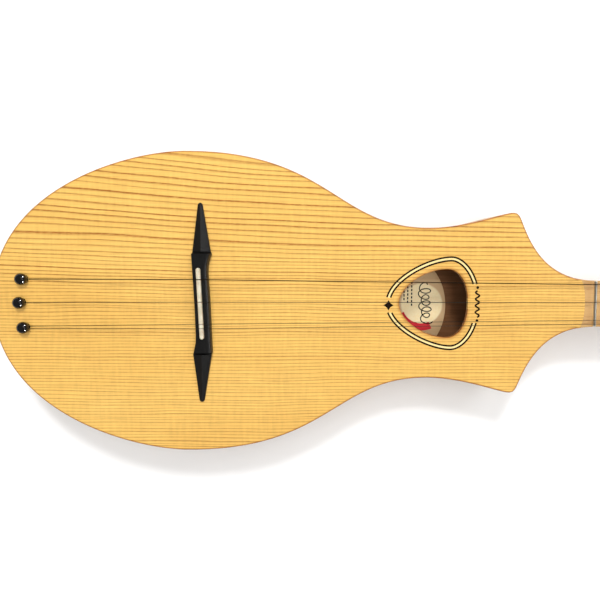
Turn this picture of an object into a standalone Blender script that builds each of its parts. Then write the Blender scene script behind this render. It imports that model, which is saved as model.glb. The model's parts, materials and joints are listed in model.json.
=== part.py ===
"""Stick dulcimer: a fretted, plucked instrument with four steel strings in three courses.

Run with: blender --background --python part.py

Frame: +X runs from the tail to the headstock, +Y to the bass side and +Z out of the soundboard.
The origin is the centre of the bounding box in X and Y, on the plane of the flat back.
Every size below is in millimetres, and MM turns it to metres. A station is a distance from the
tail tip along the neck. The headstock and its tuners have their own frame, in which u runs from
the nut to the tip, v to the bass side and w out of the face.
"""

import math

import bmesh
import bpy
import numpy as np
from mathutils import Matrix, Vector

MM = 0.001

# Driving dimensions
LENGTH = 748.6
DEPTH = 48.0
SOUNDBOARD = 2.8
SCALE_LENGTH = 502.4
NUT_STATION = 637.4
# The saddle stands 0.6 behind the scale's end, for intonation
SADDLE_STATION = NUT_STATION - SCALE_LENGTH - 0.6
WALL = 6.0
FLOOR = 5.0
BACK_EDGE = 3.0
REST_GAP = 0.1

# Half outline of the body: Bezier anchors and handles as (station, half-width)
MAX_HALF_WIDTH = 96.1
WAIST_HALF_WIDTH = 48.2
NECK_HALF_WIDTH = 14.75
NUT_HALF_WIDTH = 13.6
NECK_START = 387.5
OUTLINE = [
    [(0, 0), (0, 70.3), (85.5, MAX_HALF_WIDTH), (125.3, MAX_HALF_WIDTH)],
    [(125.3, MAX_HALF_WIDTH), (216.4, MAX_HALF_WIDTH), (219.9, WAIST_HALF_WIDTH), (279.3, WAIST_HALF_WIDTH)],
    [(279.3, WAIST_HALF_WIDTH), (297.8, WAIST_HALF_WIDTH), (316.2, 54.1), (328.4, 57.2)],
    [(328.4, 57.2), (336.3, 59.2), (336.2, 57.1), (339.9, 48.4)],
    [(339.9, 48.4), (348.8, 27.4), (362.5, NECK_HALF_WIDTH), (NECK_START, NECK_HALF_WIDTH)],
]
OUTLINE_COUNTS = (14, 12, 5, 6, 11)

# Joint between the soundboard and the neck: a convex tongue
TONGUE_SIDE = 376.1
TONGUE_TIP = 379.8

# Sound hole, an egg with its narrow end to the tail: anchors and handles of its upper half
HOLE_HALF = [
    [(260.8, 0), (260.8, 10.5), (277.0, 21.85), (291.3, 21.85)],
    [(291.3, 21.85), (299.5, 21.85), (304.7, 12.5), (304.7, 0)],
]

# Oval label on the cavity's floor
LABEL_STATION, LABEL_SIDE = 276.6, -5.0
LABEL_HALF = (24.0, 33.0)

# Cavity of the carved body
CAVITY_START = 38.0
CAVITY_END = 322.0

# Neck
NECK_ANGLE = math.radians(0.9)
NECK_ROOT = 380.0
NECK_DEPTH = 21.0
NECK_CURVE = 2.4
FRET_SEMITONES = (2, 4, 5, 7, 9, 10, 11, 12)
FRET_NAMES = ("1", "2", "3", "4", "5", "6", "6_half", "7")
FRET_WIDTH, FRET_HEIGHT = 2.0, 1.1
TANG_WIDTH, TANG_DEPTH = 0.5, 1.6
NUT_WIDTH = 5.0
NUT_SEAT_DEPTH = 2.0

# Headstock
HEAD_ANGLE = math.radians(10.9)
HEAD_THICK = 13.0
HEAD_LENGTH = (LENGTH - NUT_STATION - NUT_WIDTH) / math.cos(HEAD_ANGLE)
HEAD_STEP = 1.5

# Strings, from the bass side: name, radius, and lateral places at the pin, saddle and nut
PIN_STATIONS = {"bass": 20.8, "middle": 19.0, "treble": 21.2}
PIN_SIDES = {"bass": 15.15, "middle": 0.1, "treble": -15.85}
STRINGS = [
    ("bass", 0.28, "bass", 0.0, 15.3, 9.6, "tuner_1"),
    ("middle", 0.19, "middle", 0.0, 1.2, 0.8, "tuner_2"),
    ("treble_inner", 0.15, "treble", 0.8, -12.7, -7.9, "tuner_4"),
    ("treble_outer", 0.15, "treble", -0.8, -15.5, -10.0, "tuner_3"),
]
STRING_AT_SADDLE = DEPTH + 9.0
STRING_AT_NUT = 1.3

# Bridge
BRIDGE_MIDDLE_HALF = 31.3
BRIDGE_MIDDLE_TOP = 6.6
WING_BASE_HALF = 5.75
WING_BASE_TOP = 5.2
WING_TIP = 63.6
WING_TIP_HALF = 1.3
WING_TIP_TOP = 1.9
GROOVE = 1.2
SADDLE_SLANT = math.radians(2.8)
SADDLE_LENGTH, SADDLE_THICK = 45.4, 3.3
SADDLE_SEAT = 3.0

# Pins
PIN_BALL = 3.8
PIN_HOLE = 2.9
PIN_SHANK = 2.1
PIN_HOLE_BOTTOM = 20.0

# Tuners: name, u, v and the side that the button stands out on
TUNERS = [
    ("tuner_1", 38.0, 11.5, 1),
    ("tuner_2", 82.0, 9.0, 1),
    ("tuner_3", 38.0, -11.5, -1),
    ("tuner_4", 82.0, -9.0, -1),
]
GEAR_TEETH = 15
GEAR_PITCH_RADIUS = 4.5
WORM_PITCH_RADIUS = 2.1
CENTRE_DISTANCE = GEAR_PITCH_RADIUS + WORM_PITCH_RADIUS
WORM_PITCH = 2 * math.pi * GEAR_PITCH_RADIUS / GEAR_TEETH
GEAR_TIP, GEAR_ROOT, GEAR_THICK, GEAR_BORE = 4.85, 3.75, 3.2, 2.15
THREAD_TIP, THREAD_ROOT = 2.55, 1.55
THREAD_TURNS = 4
PLATE_THICK = 1.2
PLATE_TOP = -HEAD_THICK - REST_GAP
PLATE_BOTTOM = PLATE_TOP - PLATE_THICK
GEAR_MID = PLATE_BOTTOM - 3.5
EAR_INNER, EAR_OUTER = 4.6, 6.8
SHAFT_RADIUS, EAR_BORE = 1.35, 1.7
POST_RADIUS, POST_TOP, POST_STRING = 3.0, 14.5, 8.0
BUSHING_BORE, BUSHING_BARREL, BUSHING_FLANGE, BUSHING_LENGTH = 3.3, 4.0, 4.6, 8.0
BUTTON_START, BUTTON_LENGTH = 12.2, 12.0
SCREW_PLACES = (-12.7, 8.0)

# Materials: colour (linear), roughness, metallic
MATERIALS = {
    "spruce": ((0.76, 0.47, 0.17), 0.45, 0.0),
    "maple": ((0.66, 0.45, 0.24), 0.40, 0.0),
    "black_composite": ((0.015, 0.015, 0.016), 0.45, 0.0),
    "white_composite": ((0.86, 0.82, 0.70), 0.35, 0.0),
    "gloss_black": ((0.008, 0.008, 0.009), 0.10, 0.0),
    "nickel_silver": ((0.72, 0.70, 0.64), 0.25, 1.0),
    "steel_wire": ((0.62, 0.60, 0.56), 0.25, 1.0),
    "nickel_plate": ((0.70, 0.69, 0.67), 0.20, 1.0),
    "brass": ((0.78, 0.57, 0.24), 0.30, 1.0),
    "paper": ((0.80, 0.70, 0.50), 0.85, 0.0),
}


def station(s):
    """X in millimetres of a station."""
    return s - LENGTH / 2


def neck_z(s):
    """Height of the neck's playing face at a station."""
    return DEPTH - math.tan(NECK_ANGLE) * max(s - NECK_ROOT, 0.0)


def bezier(segment, count):
    """Points of a cubic Bezier segment, its end left out."""
    p0, p1, p2, p3 = (np.array(p, float) for p in segment)
    t = (np.arange(count) / count)[:, None]
    return (1 - t) ** 3 * p0 + 3 * (1 - t) ** 2 * t * p1 + 3 * (1 - t) * t**2 * p2 + t**3 * p3


def half_outline():
    """(station, half-width) along one side, from the tail tip to the start of the neck."""
    parts = [bezier(seg, n) for seg, n in zip(OUTLINE, OUTLINE_COUNTS)]
    return np.vstack(parts + [np.array([[NECK_START, NECK_HALF_WIDTH]])])


def half_width(s):
    """Half-width of the body's outline at a station."""
    curve = half_outline()
    return float(np.interp(s, curve[:, 0], curve[:, 1]))


def both_sides(half):
    """A closed outline from its upper half, whose first and last points may lie on the axis."""
    lower = [(x, -y) for x, y in reversed(list(map(tuple, half))) if abs(y) > 1e-6]
    return [tuple(p) for p in half] + lower


def inset(points, distance):
    """The outline moved inwards by a distance, along the normal at each point."""
    p = np.array(points)
    run = np.roll(p, -1, 0) - np.roll(p, 1, 0)
    normal = np.stack([run[:, 1], -run[:, 0]], 1) / np.linalg.norm(run, axis=1)[:, None]
    area = np.sum(p[:, 0] * np.roll(p[:, 1], -1) - np.roll(p[:, 0], -1) * p[:, 1])
    return p - normal * distance * (1 if area > 0 else -1)


# Blender helpers


def clear_scene():
    for obj in list(bpy.data.objects):
        bpy.data.objects.remove(obj)


def make_collection(name):
    made = bpy.data.collections.new(name)
    bpy.context.scene.collection.children.link(made)
    return made


def make_materials():
    for name, (colour, roughness, metallic) in MATERIALS.items():
        material = bpy.data.materials.new(name)
        material.use_nodes = True
        shader = material.node_tree.nodes["Principled BSDF"]
        shader.inputs["Base Color"].default_value = (*colour, 1.0)
        shader.inputs["Roughness"].default_value = roughness
        shader.inputs["Metallic"].default_value = metallic


def place(obj, material=None, frame=None, matrix=None):
    """Puts an object in the instrument with its material, or among the cutters with none."""
    PLACES["parts" if material else "cutters"].objects.link(obj)
    if material:
        obj.data.materials.append(bpy.data.materials[material])
    else:
        obj.hide_render = True
        obj.display_type = "WIRE"
    if matrix is not None:
        obj.matrix_local = matrix
    if frame is not None:
        obj.parent = frame
    return obj


def object_of(name, bm, smooth=0.6):
    """An object from a bmesh in millimetres, shaded smooth up to an angle in radians."""
    bmesh.ops.scale(bm, vec=Vector((MM, MM, MM)), verts=bm.verts)
    bmesh.ops.recalc_face_normals(bm, faces=bm.faces)
    mesh = bpy.data.meshes.new(name)
    bm.to_mesh(mesh)
    bm.free()
    mesh.shade_smooth()
    mesh.set_sharp_from_angle(angle=smooth)
    return bpy.data.objects.new(name, mesh)


def plate(name, rings, low, high):
    """A flat plate from outlines, the first the rim and the others holes: a filled 2D curve made a mesh."""
    curve = bpy.data.curves.new(name, "CURVE")
    curve.dimensions = "2D"
    curve.fill_mode = "BOTH"
    curve.extrude = (high - low) / 2 * MM
    for ring in rings:
        spline = curve.splines.new("POLY")
        spline.points.add(len(ring) - 1)
        spline.use_cyclic_u = True
        for point, (x, y) in zip(spline.points, ring):
            point.co = (x * MM, y * MM, 0, 1)
    flat = bpy.data.objects.new(name, curve)
    bpy.context.scene.collection.objects.link(flat)
    graph = bpy.context.evaluated_depsgraph_get()
    mesh = bpy.data.meshes.new_from_object(flat.evaluated_get(graph))
    bpy.data.objects.remove(flat)
    bm = bmesh.new()
    bm.from_mesh(mesh)
    bmesh.ops.remove_doubles(bm, verts=bm.verts, dist=1e-6)
    bmesh.ops.scale(bm, vec=Vector((1 / MM,) * 3), verts=bm.verts)
    bmesh.ops.translate(bm, vec=Vector((0, 0, (low + high) / 2)), verts=bm.verts)
    bmesh.ops.dissolve_limit(bm, angle_limit=0.001, verts=bm.verts, edges=bm.edges)
    return object_of(name, bm)


def loft(name, sections):
    """A closed solid through rings of the same number of points, capped at both ends."""
    bm = bmesh.new()
    rings = [[bm.verts.new(p) for p in ring] for ring in sections]
    count = len(rings[0])
    for a, b in zip(rings, rings[1:]):
        for i in range(count):
            j = (i + 1) % count
            bm.faces.new((a[i], a[j], b[j], b[i]))
    bm.faces.new(rings[0])
    bm.faces.new(rings[-1])
    return object_of(name, bm)


def turned(name, profile, steps, closed=False):
    """A solid of revolution about Z from (radius, height) points, listed down the outer side."""
    mesh = bpy.data.meshes.new(name)
    points = [(r * MM, 0, z * MM) for r, z in profile]
    count = len(points)
    edges = [(i, (i + 1) % count) for i in range(count if closed else count - 1)]
    mesh.from_pydata(points, edges, [])
    obj = bpy.data.objects.new(name, mesh)
    screw = obj.modifiers.new("turn", "SCREW")
    screw.steps = screw.render_steps = steps
    screw.use_merge_vertices = True
    screw.merge_threshold = 1e-6
    screw.use_smooth_shade = False
    return obj


def add_cylinder(bm, centre, radius, low, high, sides=16):
    """A cylinder along Z in a bmesh."""
    matrix = Matrix.Translation((centre[0], centre[1], (low + high) / 2))
    bmesh.ops.create_cone(
        bm, cap_ends=True, segments=sides, radius1=radius, radius2=radius, depth=high - low, matrix=matrix
    )


def add_box(bm, low, high, turn=None):
    """A box in a bmesh between two corners, turned about Y through its centre if asked."""
    size = Vector(high) - Vector(low)
    centre = (Vector(high) + Vector(low)) / 2
    matrix = Matrix.Translation(centre) @ (turn or Matrix.Identity(4)) @ Matrix.Diagonal((*size, 1))
    bmesh.ops.create_cube(bm, size=1.0, matrix=matrix)


def cut(obj, cutter, operation="DIFFERENCE"):
    """Cuts an object by a cutter, or joins them, with a Boolean modifier."""
    boolean = obj.modifiers.new(cutter.name, "BOOLEAN")
    boolean.operation = operation
    boolean.object = cutter
    boolean.solver = "EXACT"


def rounded_end_bar(length, thick, arc_steps=6):
    """Outline of a bar along Y with round ends, centred on the origin."""
    radius = thick / 2
    straight = length / 2 - radius
    angles = [math.pi * i / arc_steps for i in range(arc_steps + 1)]
    upper = [(radius * math.cos(a), straight + radius * math.sin(a)) for a in angles]
    return upper + [(-x, -y) for x, y in upper]


# Body and neck


def rim_outline():
    """The whole instrument's outline up to the tongue's sides, and the tongue's arc."""
    half = [p for p in half_outline() if p[0] < TONGUE_SIDE - 0.5]
    half = [(station(s), w) for s, w in half]
    side = half_width(TONGUE_SIDE)
    arc = []
    for i in range(4):
        angle = math.pi / 2 * i / 4
        arc.append((station(TONGUE_SIDE) + (TONGUE_TIP - TONGUE_SIDE) * math.sin(angle), side * math.cos(angle)))
    return both_sides(half + arc + [(station(TONGUE_TIP), 0.0)])


def hole_ring():
    half = np.vstack([bezier(seg, 8) for seg in HOLE_HALF] + [np.array([[304.7, 0.0]])])
    return both_sides([(station(s), y) for s, y in half])


def round_ring(x, y, radius, sides=12):
    return [
        (x + radius * math.cos(2 * math.pi * i / sides), y + radius * math.sin(2 * math.pi * i / sides))
        for i in range(sides)
    ]


def body_block():
    """The carved maple bowl as a block, its back edge rounded."""
    half = [(station(s), w) for s, w in half_outline() if s < TONGUE_SIDE - 0.5]
    half.append((station(TONGUE_SIDE), half_width(TONGUE_SIDE)))
    rim = DEPTH - SOUNDBOARD - REST_GAP
    block = plate("body_and_neck", [both_sides(half)], 0.0, rim)
    bm = bmesh.new()
    bm.from_mesh(block.data)
    bottom = [e for e in bm.edges if all(v.co.z < 1e-6 for v in e.verts) and len(e.link_faces) == 2]
    edge = [e for e in bottom if e.calc_face_angle() > 1.0]
    bmesh.ops.bevel(bm, geom=edge, offset=BACK_EDGE * MM, segments=2, profile=0.5, affect="EDGES", clamp_overlap=True)
    bm.to_mesh(block.data)
    bm.free()
    return block


def neck_section(s, half, top, bottom, curve):
    """A D-shaped ring across the neck: a flat top and a superellipse below it."""
    count = 16
    ring = []
    for i in range(count + 1):
        t = math.pi * i / count
        c, d = math.cos(t), math.sin(t)
        y = half * math.copysign(abs(c) ** (2 / curve), c)
        ring.append((station(s), y, top - (top - bottom) * abs(d) ** (2 / curve)))
    return ring


def head_z(s):
    """Height of the headstock's face at a station."""
    start = NUT_STATION + NUT_WIDTH
    return neck_z(start) - HEAD_STEP - math.tan(HEAD_ANGLE) * (s - start)


def neck_loft():
    """Heel, neck and the run into the headstock, as one loft."""
    rows = [
        (362.0, 14.6, 3.2, 8.0),
        (375.5, half_width(376.1) - 0.3, 3.2, 8.0),
        (380.5, half_width(380.5), 5.4, 6.0),
        (387.5, NECK_HALF_WIDTH, 11.2, 4.2),
        (395.0, 14.72, 18.0, 3.2),
        (404.0, 14.68, 23.6, 2.7),
        (416.0, 14.62, 26.1, NECK_CURVE),
        (432.0, 14.55, neck_z(432.0) - NECK_DEPTH, NECK_CURVE),
    ]
    sections = [neck_section(s, h, neck_z(s), low, e) for s, h, low, e in rows]
    nut_depth = NECK_DEPTH - 1.5
    sections.append(neck_section(NUT_STATION, NUT_HALF_WIDTH, neck_z(NUT_STATION), neck_z(NUT_STATION) - nut_depth, NECK_CURVE))
    after = NUT_STATION + NUT_WIDTH + 0.2
    sections.append(neck_section(after, NUT_HALF_WIDTH, head_z(after) - 0.05, neck_z(after) - nut_depth + 0.4, NECK_CURVE))
    back = HEAD_THICK / math.cos(HEAD_ANGLE)
    sections.append(neck_section(after + 10, 13.2, head_z(after + 10) - 0.5, head_z(after + 10) - back - 1.2, 3.0))
    sections.append(neck_section(after + 22, 12.0, head_z(after + 22) - 2.0, head_z(after + 22) - back + 1.5, 4.0))
    return loft("neck_core", sections)


def head_matrix():
    """Headstock frame: origin at the nut's back, X along the headstock, Z out of its face."""
    start = NUT_STATION + NUT_WIDTH
    origin = Vector((station(start), 0, head_z(start))) * MM
    return Matrix.Translation(origin) @ Matrix.Rotation(HEAD_ANGLE, 4, "Y")


def head_outline():
    """Half outline of the headstock: narrow at the nut, a shoulder, then a taper to a soft tip."""
    shoulder = bezier([(-4, 13.4), (8, 13.2), (12, 20.6), (25, 20.6)], 8)
    taper = bezier([(25, 20.6), (50, 20.6), (80, 17.6), (100.0, 16.6)], 4)
    corner = bezier([(100.0, 16.6), (104.6, 16.3), (106.6, 14.5), (107.2, 11.0)], 5)
    tip = bezier([(107.2, 11.0), (107.8, 7.0), (HEAD_LENGTH, 4.0), (HEAD_LENGTH, 0.0)], 3)
    return both_sides([*shoulder, *taper, *corner, *tip, (HEAD_LENGTH, 0.0)])


def headstock_core(frame):
    head = plate("headstock_core", [head_outline()], -HEAD_THICK, 0.0)
    return place(head, frame=frame)


def cavity_cutter():
    """Hollow of the bowl: the outline moved in by the wall, cut off square at both end blocks."""
    half = half_outline()
    full = np.array(both_sides(half))
    inner = inset(full, WALL)
    upper = [(s, w) for s, w in inner if CAVITY_START < s < CAVITY_END and w > 0]
    curve = np.array(sorted(upper))
    ends = [(e, float(np.interp(e, curve[:, 0], curve[:, 1]))) for e in (CAVITY_START, CAVITY_END)]
    corner = 8.0
    half_ring = [(CAVITY_START, 0.0), (CAVITY_START, ends[0][1] - corner)]
    half_ring += [(CAVITY_START + corner * 0.3, ends[0][1] - corner * 0.3)]
    half_ring += [tuple(p) for p in curve if CAVITY_START + corner < p[0] < CAVITY_END - corner]
    half_ring += [(CAVITY_END - corner * 0.3, ends[1][1] - corner * 0.3)]
    half_ring += [(CAVITY_END, ends[1][1] - corner), (CAVITY_END, 0.0)]
    ring = both_sides([(station(s), w) for s, w in half_ring])
    return place(plate("cavity_cutter", [ring], FLOOR, DEPTH))


def pocket_cutter():
    """Everything above the rim that the soundboard takes, up to the tongue's arc."""
    outline = np.array(rim_outline())
    grown = inset(outline, -REST_GAP)
    clear = 3.0
    wide = [(x, y) if x > station(TONGUE_SIDE) - 0.2 else (x - 1.0, y + math.copysign(clear, y)) for x, y in grown]
    return place(plate("pocket_cutter", [wide], DEPTH - SOUNDBOARD - REST_GAP, DEPTH + 20))


def pin_place(name):
    return station(PIN_STATIONS[name]), PIN_SIDES[name]


def pin_hole_cutter():
    bm = bmesh.new()
    for name in PIN_STATIONS:
        add_cylinder(bm, pin_place(name), PIN_HOLE, PIN_HOLE_BOTTOM, DEPTH + 5, sides=12)
    return place(object_of("pin_hole_cutter", bm))


def fret_stations():
    return [NUT_STATION - SCALE_LENGTH * (1 - 2 ** (-n / 12)) for n in FRET_SEMITONES]


def fret_slot_cutter():
    bm = bmesh.new()
    for s in fret_stations():
        low = (station(s) - TANG_WIDTH / 2 - 0.12, -20, neck_z(s) - TANG_DEPTH - 0.2)
        high = (station(s) + TANG_WIDTH / 2 + 0.12, 20, neck_z(s) + 5)
        add_box(bm, low, high, Matrix.Rotation(NECK_ANGLE, 4, "Y"))
    return place(object_of("fret_slot_cutter", bm))


def nut_seat_cutter():
    bm = bmesh.new()
    floor = neck_z(NUT_STATION) - NUT_SEAT_DEPTH
    add_box(bm, (station(NUT_STATION), -20, floor), (station(NUT_STATION + NUT_WIDTH), 20, floor + 12))
    return place(object_of("nut_seat_cutter", bm))


def post_hole_cutter(frame):
    """Stepped bores for the bushings and posts, in the headstock frame."""
    barrel = turned_steps([(BUSHING_BARREL + 0.15, -BUSHING_LENGTH - 0.2, 5.0), (POST_RADIUS + 0.4, -HEAD_THICK - 5, 0)])
    return place(object_of("post_hole_cutter", barrel), frame=frame)


def turned_steps(steps):
    """Stacked cylinders at every tuner: (radius, low, high), joined later by the Boolean."""
    bm = bmesh.new()
    for radius, low, high in steps:
        for _, u, v, _ in TUNERS:
            add_cylinder(bm, (u, v), radius, low, high)
    return bm


def pilot_hole_cutter(frame):
    """Pilot holes for the tuner plates' screws, in the headstock's back."""
    bm = bmesh.new()
    for _, u, v, _ in TUNERS:
        for du in SCREW_PLACES:
            add_cylinder(bm, (u + du, v), 1.25, -HEAD_THICK - 2, -HEAD_THICK + 8.5, sides=8)
    return place(object_of("pilot_hole_cutter", bm), frame=frame)


def body_and_neck(frame):
    """Bowl, neck and headstock, carved from one piece of maple."""
    body = place(body_block(), "maple")
    cut(body, place(neck_loft()), "UNION")
    cut(body, headstock_core(frame), "UNION")
    for cutter in (pocket_cutter(), cavity_cutter(), pin_hole_cutter(), fret_slot_cutter(), nut_seat_cutter()):
        cut(body, cutter)
    narrow = turned_steps([(POST_RADIUS + 0.4, -HEAD_THICK - 5, 5.0)])
    cut(body, place(object_of("post_hole_cutter", narrow), frame=frame))
    wide = turned_steps([(BUSHING_BARREL + 0.15, -BUSHING_LENGTH - 0.2, 6.0)])
    cut(body, place(object_of("bushing_hole_cutter", wide), frame=frame))
    cut(body, pilot_hole_cutter(frame))
    return body


# Soundboard and what is under it


def soundboard():
    holes = [round_ring(*pin_place(name), PIN_HOLE) for name in PIN_STATIONS]
    place(plate("soundboard", [rim_outline(), hole_ring(), *holes], DEPTH - SOUNDBOARD, DEPTH), "spruce")


def brace(name, s, half, height=9.0, thick=7.0):
    """A bar under the soundboard with its ends cut down to a point."""
    top = DEPTH - SOUNDBOARD - REST_GAP
    profile = [(-half, top), (-half, top - 2), (-half * 0.75, top - height), (half * 0.75, top - height), (half, top - 2), (half, top)]
    rings = [[(station(s) + dx, y, z) for y, z in profile] for dx in (-thick / 2, thick / 2)]
    place(loft(name, rings), "spruce")


def bridge_plate():
    bm = bmesh.new()
    top = DEPTH - SOUNDBOARD - REST_GAP
    add_box(bm, (station(SADDLE_STATION) - 14, -46, top - 2.2), (station(SADDLE_STATION) + 14, 46, top))
    place(object_of("bridge_plate", bm), "maple")


def paper_label():
    """An oval of paper on the floor of the cavity, seen through the sound hole."""
    ring = [(LABEL_HALF[0] * x, LABEL_HALF[1] * y) for x, y in round_ring(0, 0, 1.0, 28)]
    matrix = Matrix.Translation(Vector((station(LABEL_STATION), LABEL_SIDE, FLOOR + REST_GAP)) * MM)
    place(plate("paper_label", [ring], 0.0, 0.25), "paper", matrix=matrix)


# Bridge, saddle, nut and frets


def bridge_wing(sign):
    """A wing with a roof ridge that falls and narrows to a blunt tip."""
    base_z = DEPTH + REST_GAP
    centre = station(134.8)

    def ring(y, half, edge, ridge):
        return [
            (centre - half, sign * y, base_z),
            (centre - half, sign * y, base_z + edge),
            (centre, sign * y, base_z + ridge),
            (centre + half, sign * y, base_z + edge),
            (centre + half, sign * y, base_z),
        ]

    rings = [
        ring(BRIDGE_MIDDLE_HALF + GROOVE, WING_BASE_HALF, 2.6, WING_BASE_TOP),
        ring(WING_TIP - 1.6, WING_TIP_HALF + 0.4, 1.5, WING_TIP_TOP + 0.3),
        ring(WING_TIP, WING_TIP_HALF - 0.5, 1.2, WING_TIP_TOP - 0.3),
    ]
    side = "bass" if sign > 0 else "treble"
    return place(loft(f"bridge_wing_{side}", rings))


def bridge():
    """Middle block with two scooped corners, and wings joined to it across a shallow groove."""
    left_top, left_bottom, right_top, right_bottom = 128.9, 129.8, 141.3, 141.4
    outline = [
        (left_top, BRIDGE_MIDDLE_HALF),
        (131.1, -20.0),
        (131.0, -25.0),
        (130.4, -28.5),
        (left_bottom, -BRIDGE_MIDDLE_HALF),
        (right_bottom, -BRIDGE_MIDDLE_HALF),
        (139.0, 19.0),
        (139.0, 24.0),
        (139.7, 27.5),
        (right_top, BRIDGE_MIDDLE_HALF),
    ]
    base_z = DEPTH + REST_GAP
    ring = [(station(s), y) for s, y in outline]
    block = place(plate("bridge", [ring], base_z, base_z + BRIDGE_MIDDLE_TOP), "black_composite")
    bm = bmesh.new()
    reach = BRIDGE_MIDDLE_HALF + GROOVE + 0.6
    add_box(bm, (station(130.0), -reach, base_z), (station(139.6), reach, base_z + 3.4))
    cut(block, place(object_of("bridge_waist", bm)), "UNION")
    for sign in (1, -1):
        cut(block, bridge_wing(sign), "UNION")
    slot = plate("saddle_slot", [rounded_end_bar(SADDLE_LENGTH + 0.3, SADDLE_THICK + 0.3)], 0, 20)
    floor = base_z + BRIDGE_MIDDLE_TOP - SADDLE_SEAT
    cut(block, place(slot, matrix=saddle_matrix(floor)))


def saddle_matrix(height):
    return Matrix.Translation(Vector((station(SADDLE_STATION), 0, height)) * MM) @ Matrix.Rotation(SADDLE_SLANT, 4, "Z")


def saddle():
    floor = DEPTH + REST_GAP + BRIDGE_MIDDLE_TOP - SADDLE_SEAT
    bar = plate("saddle", [rounded_end_bar(SADDLE_LENGTH, SADDLE_THICK)], REST_GAP, STRING_AT_SADDLE - floor)
    place(bar, "white_composite", matrix=saddle_matrix(floor))


def nut():
    """A bar across the neck's end whose top falls towards the headstock."""
    low = neck_z(NUT_STATION) - NUT_SEAT_DEPTH + REST_GAP
    front = neck_z(NUT_STATION) + STRING_AT_NUT - 0.05
    profile = [(REST_GAP, low), (NUT_WIDTH - REST_GAP, low), (NUT_WIDTH - REST_GAP, front - 0.9), (1.6, front), (REST_GAP, front)]
    rings = [[(station(NUT_STATION + dx), y, z) for dx, z in profile] for y in (-NUT_HALF_WIDTH, NUT_HALF_WIDTH)]
    place(loft("nut", rings), "white_composite")


def frets():
    """T-shaped wires: a domed crown on the neck's face and a tang in its slot."""
    for name, s in zip(FRET_NAMES, fret_stations()):
        half = float(np.interp(s, [NECK_START, NUT_STATION], [NECK_HALF_WIDTH, NUT_HALF_WIDTH])) - 0.1
        crown = [(-1.0, 0), (-0.9, 0.45), (-0.5, 0.95), (0, FRET_HEIGHT), (0.5, 0.95), (0.9, 0.45), (1.0, 0)]
        tang = [(TANG_WIDTH / 2, 0), (TANG_WIDTH / 2, -TANG_DEPTH), (-TANG_WIDTH / 2, -TANG_DEPTH), (-TANG_WIDTH / 2, 0)]
        profile = [(x * FRET_WIDTH / 2, z) for x, z in crown] + tang
        wire = loft(f"fret_{name}", [[(x, y, z) for x, z in profile] for y in (-half, half)])
        origin = Vector((station(s), 0, neck_z(s) + REST_GAP * 0.6)) * MM
        place(wire, "nickel_silver", matrix=Matrix.Translation(origin) @ Matrix.Rotation(NECK_ANGLE, 4, "Y"))


# Pins and strings


def pins():
    """Ball-headed pins that hold the strings' ends in the tail block."""
    ball_centre = 3.2
    arc = [math.pi * i / 7 for i in range(6)]
    ball = [(PIN_BALL * math.sin(a), ball_centre + PIN_BALL * math.cos(a)) for a in arc]
    shank = [(1.5, -0.2), (PIN_SHANK, -0.6), (PIN_SHANK - 0.3, -22.0), (0, -22.6)]
    for name in PIN_STATIONS:
        x, y = pin_place(name)
        pin = turned(f"pin_{name}", ball + shank, 14)
        place(pin, "gloss_black", matrix=Matrix.Translation(Vector((x - 0.45, y, DEPTH)) * MM))


def string_points(pin, pin_shift, saddle_y, nut_y, tuner, radius):
    """Corner points of a string, from inside the tail block to the side of its post."""
    x, y = pin_place(pin)
    y += pin_shift
    exit_x = x + PIN_HOLE - radius - 0.45
    saddle_x = station(SADDLE_STATION) - math.tan(SADDLE_SLANT) * saddle_y
    nut_x = station(NUT_STATION)
    nut_z = neck_z(NUT_STATION) + STRING_AT_NUT + radius + 0.05
    u, v, side = next((t[1], t[2], t[3]) for t in TUNERS if t[0] == tuner)
    lateral = v - side * (POST_RADIUS + radius + 0.3)
    end = head_matrix() @ (Vector((u, lateral, POST_STRING)) * MM) / MM
    points = [
        Vector((exit_x, y, PIN_HOLE_BOTTOM + 10)),
        Vector((exit_x, y, DEPTH - 0.3)),
        Vector((exit_x + 0.5, y, DEPTH + 0.45)),
        Vector((saddle_x, saddle_y, STRING_AT_SADDLE + radius + 0.05)),
        Vector((nut_x + 0.8, nut_y, nut_z)),
        Vector((nut_x + NUT_WIDTH - 0.5, nut_y, nut_z - 0.55)),
        end,
    ]
    return points


def strings():
    for name, radius, pin, pin_shift, saddle_y, nut_y, tuner in STRINGS:
        curve = bpy.data.curves.new(f"string_{name}", "CURVE")
        curve.dimensions = "3D"
        curve.bevel_depth = radius * MM
        curve.bevel_resolution = 1
        curve.use_fill_caps = True
        points = string_points(pin, pin_shift, saddle_y, nut_y, tuner, radius)
        spline = curve.splines.new("POLY")
        spline.points.add(len(points) - 1)
        for point, co in zip(spline.points, points):
            point.co = (*(co * MM), 1)
        place(bpy.data.objects.new(f"string_{name}", curve), "steel_wire")


# Tuners


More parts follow.
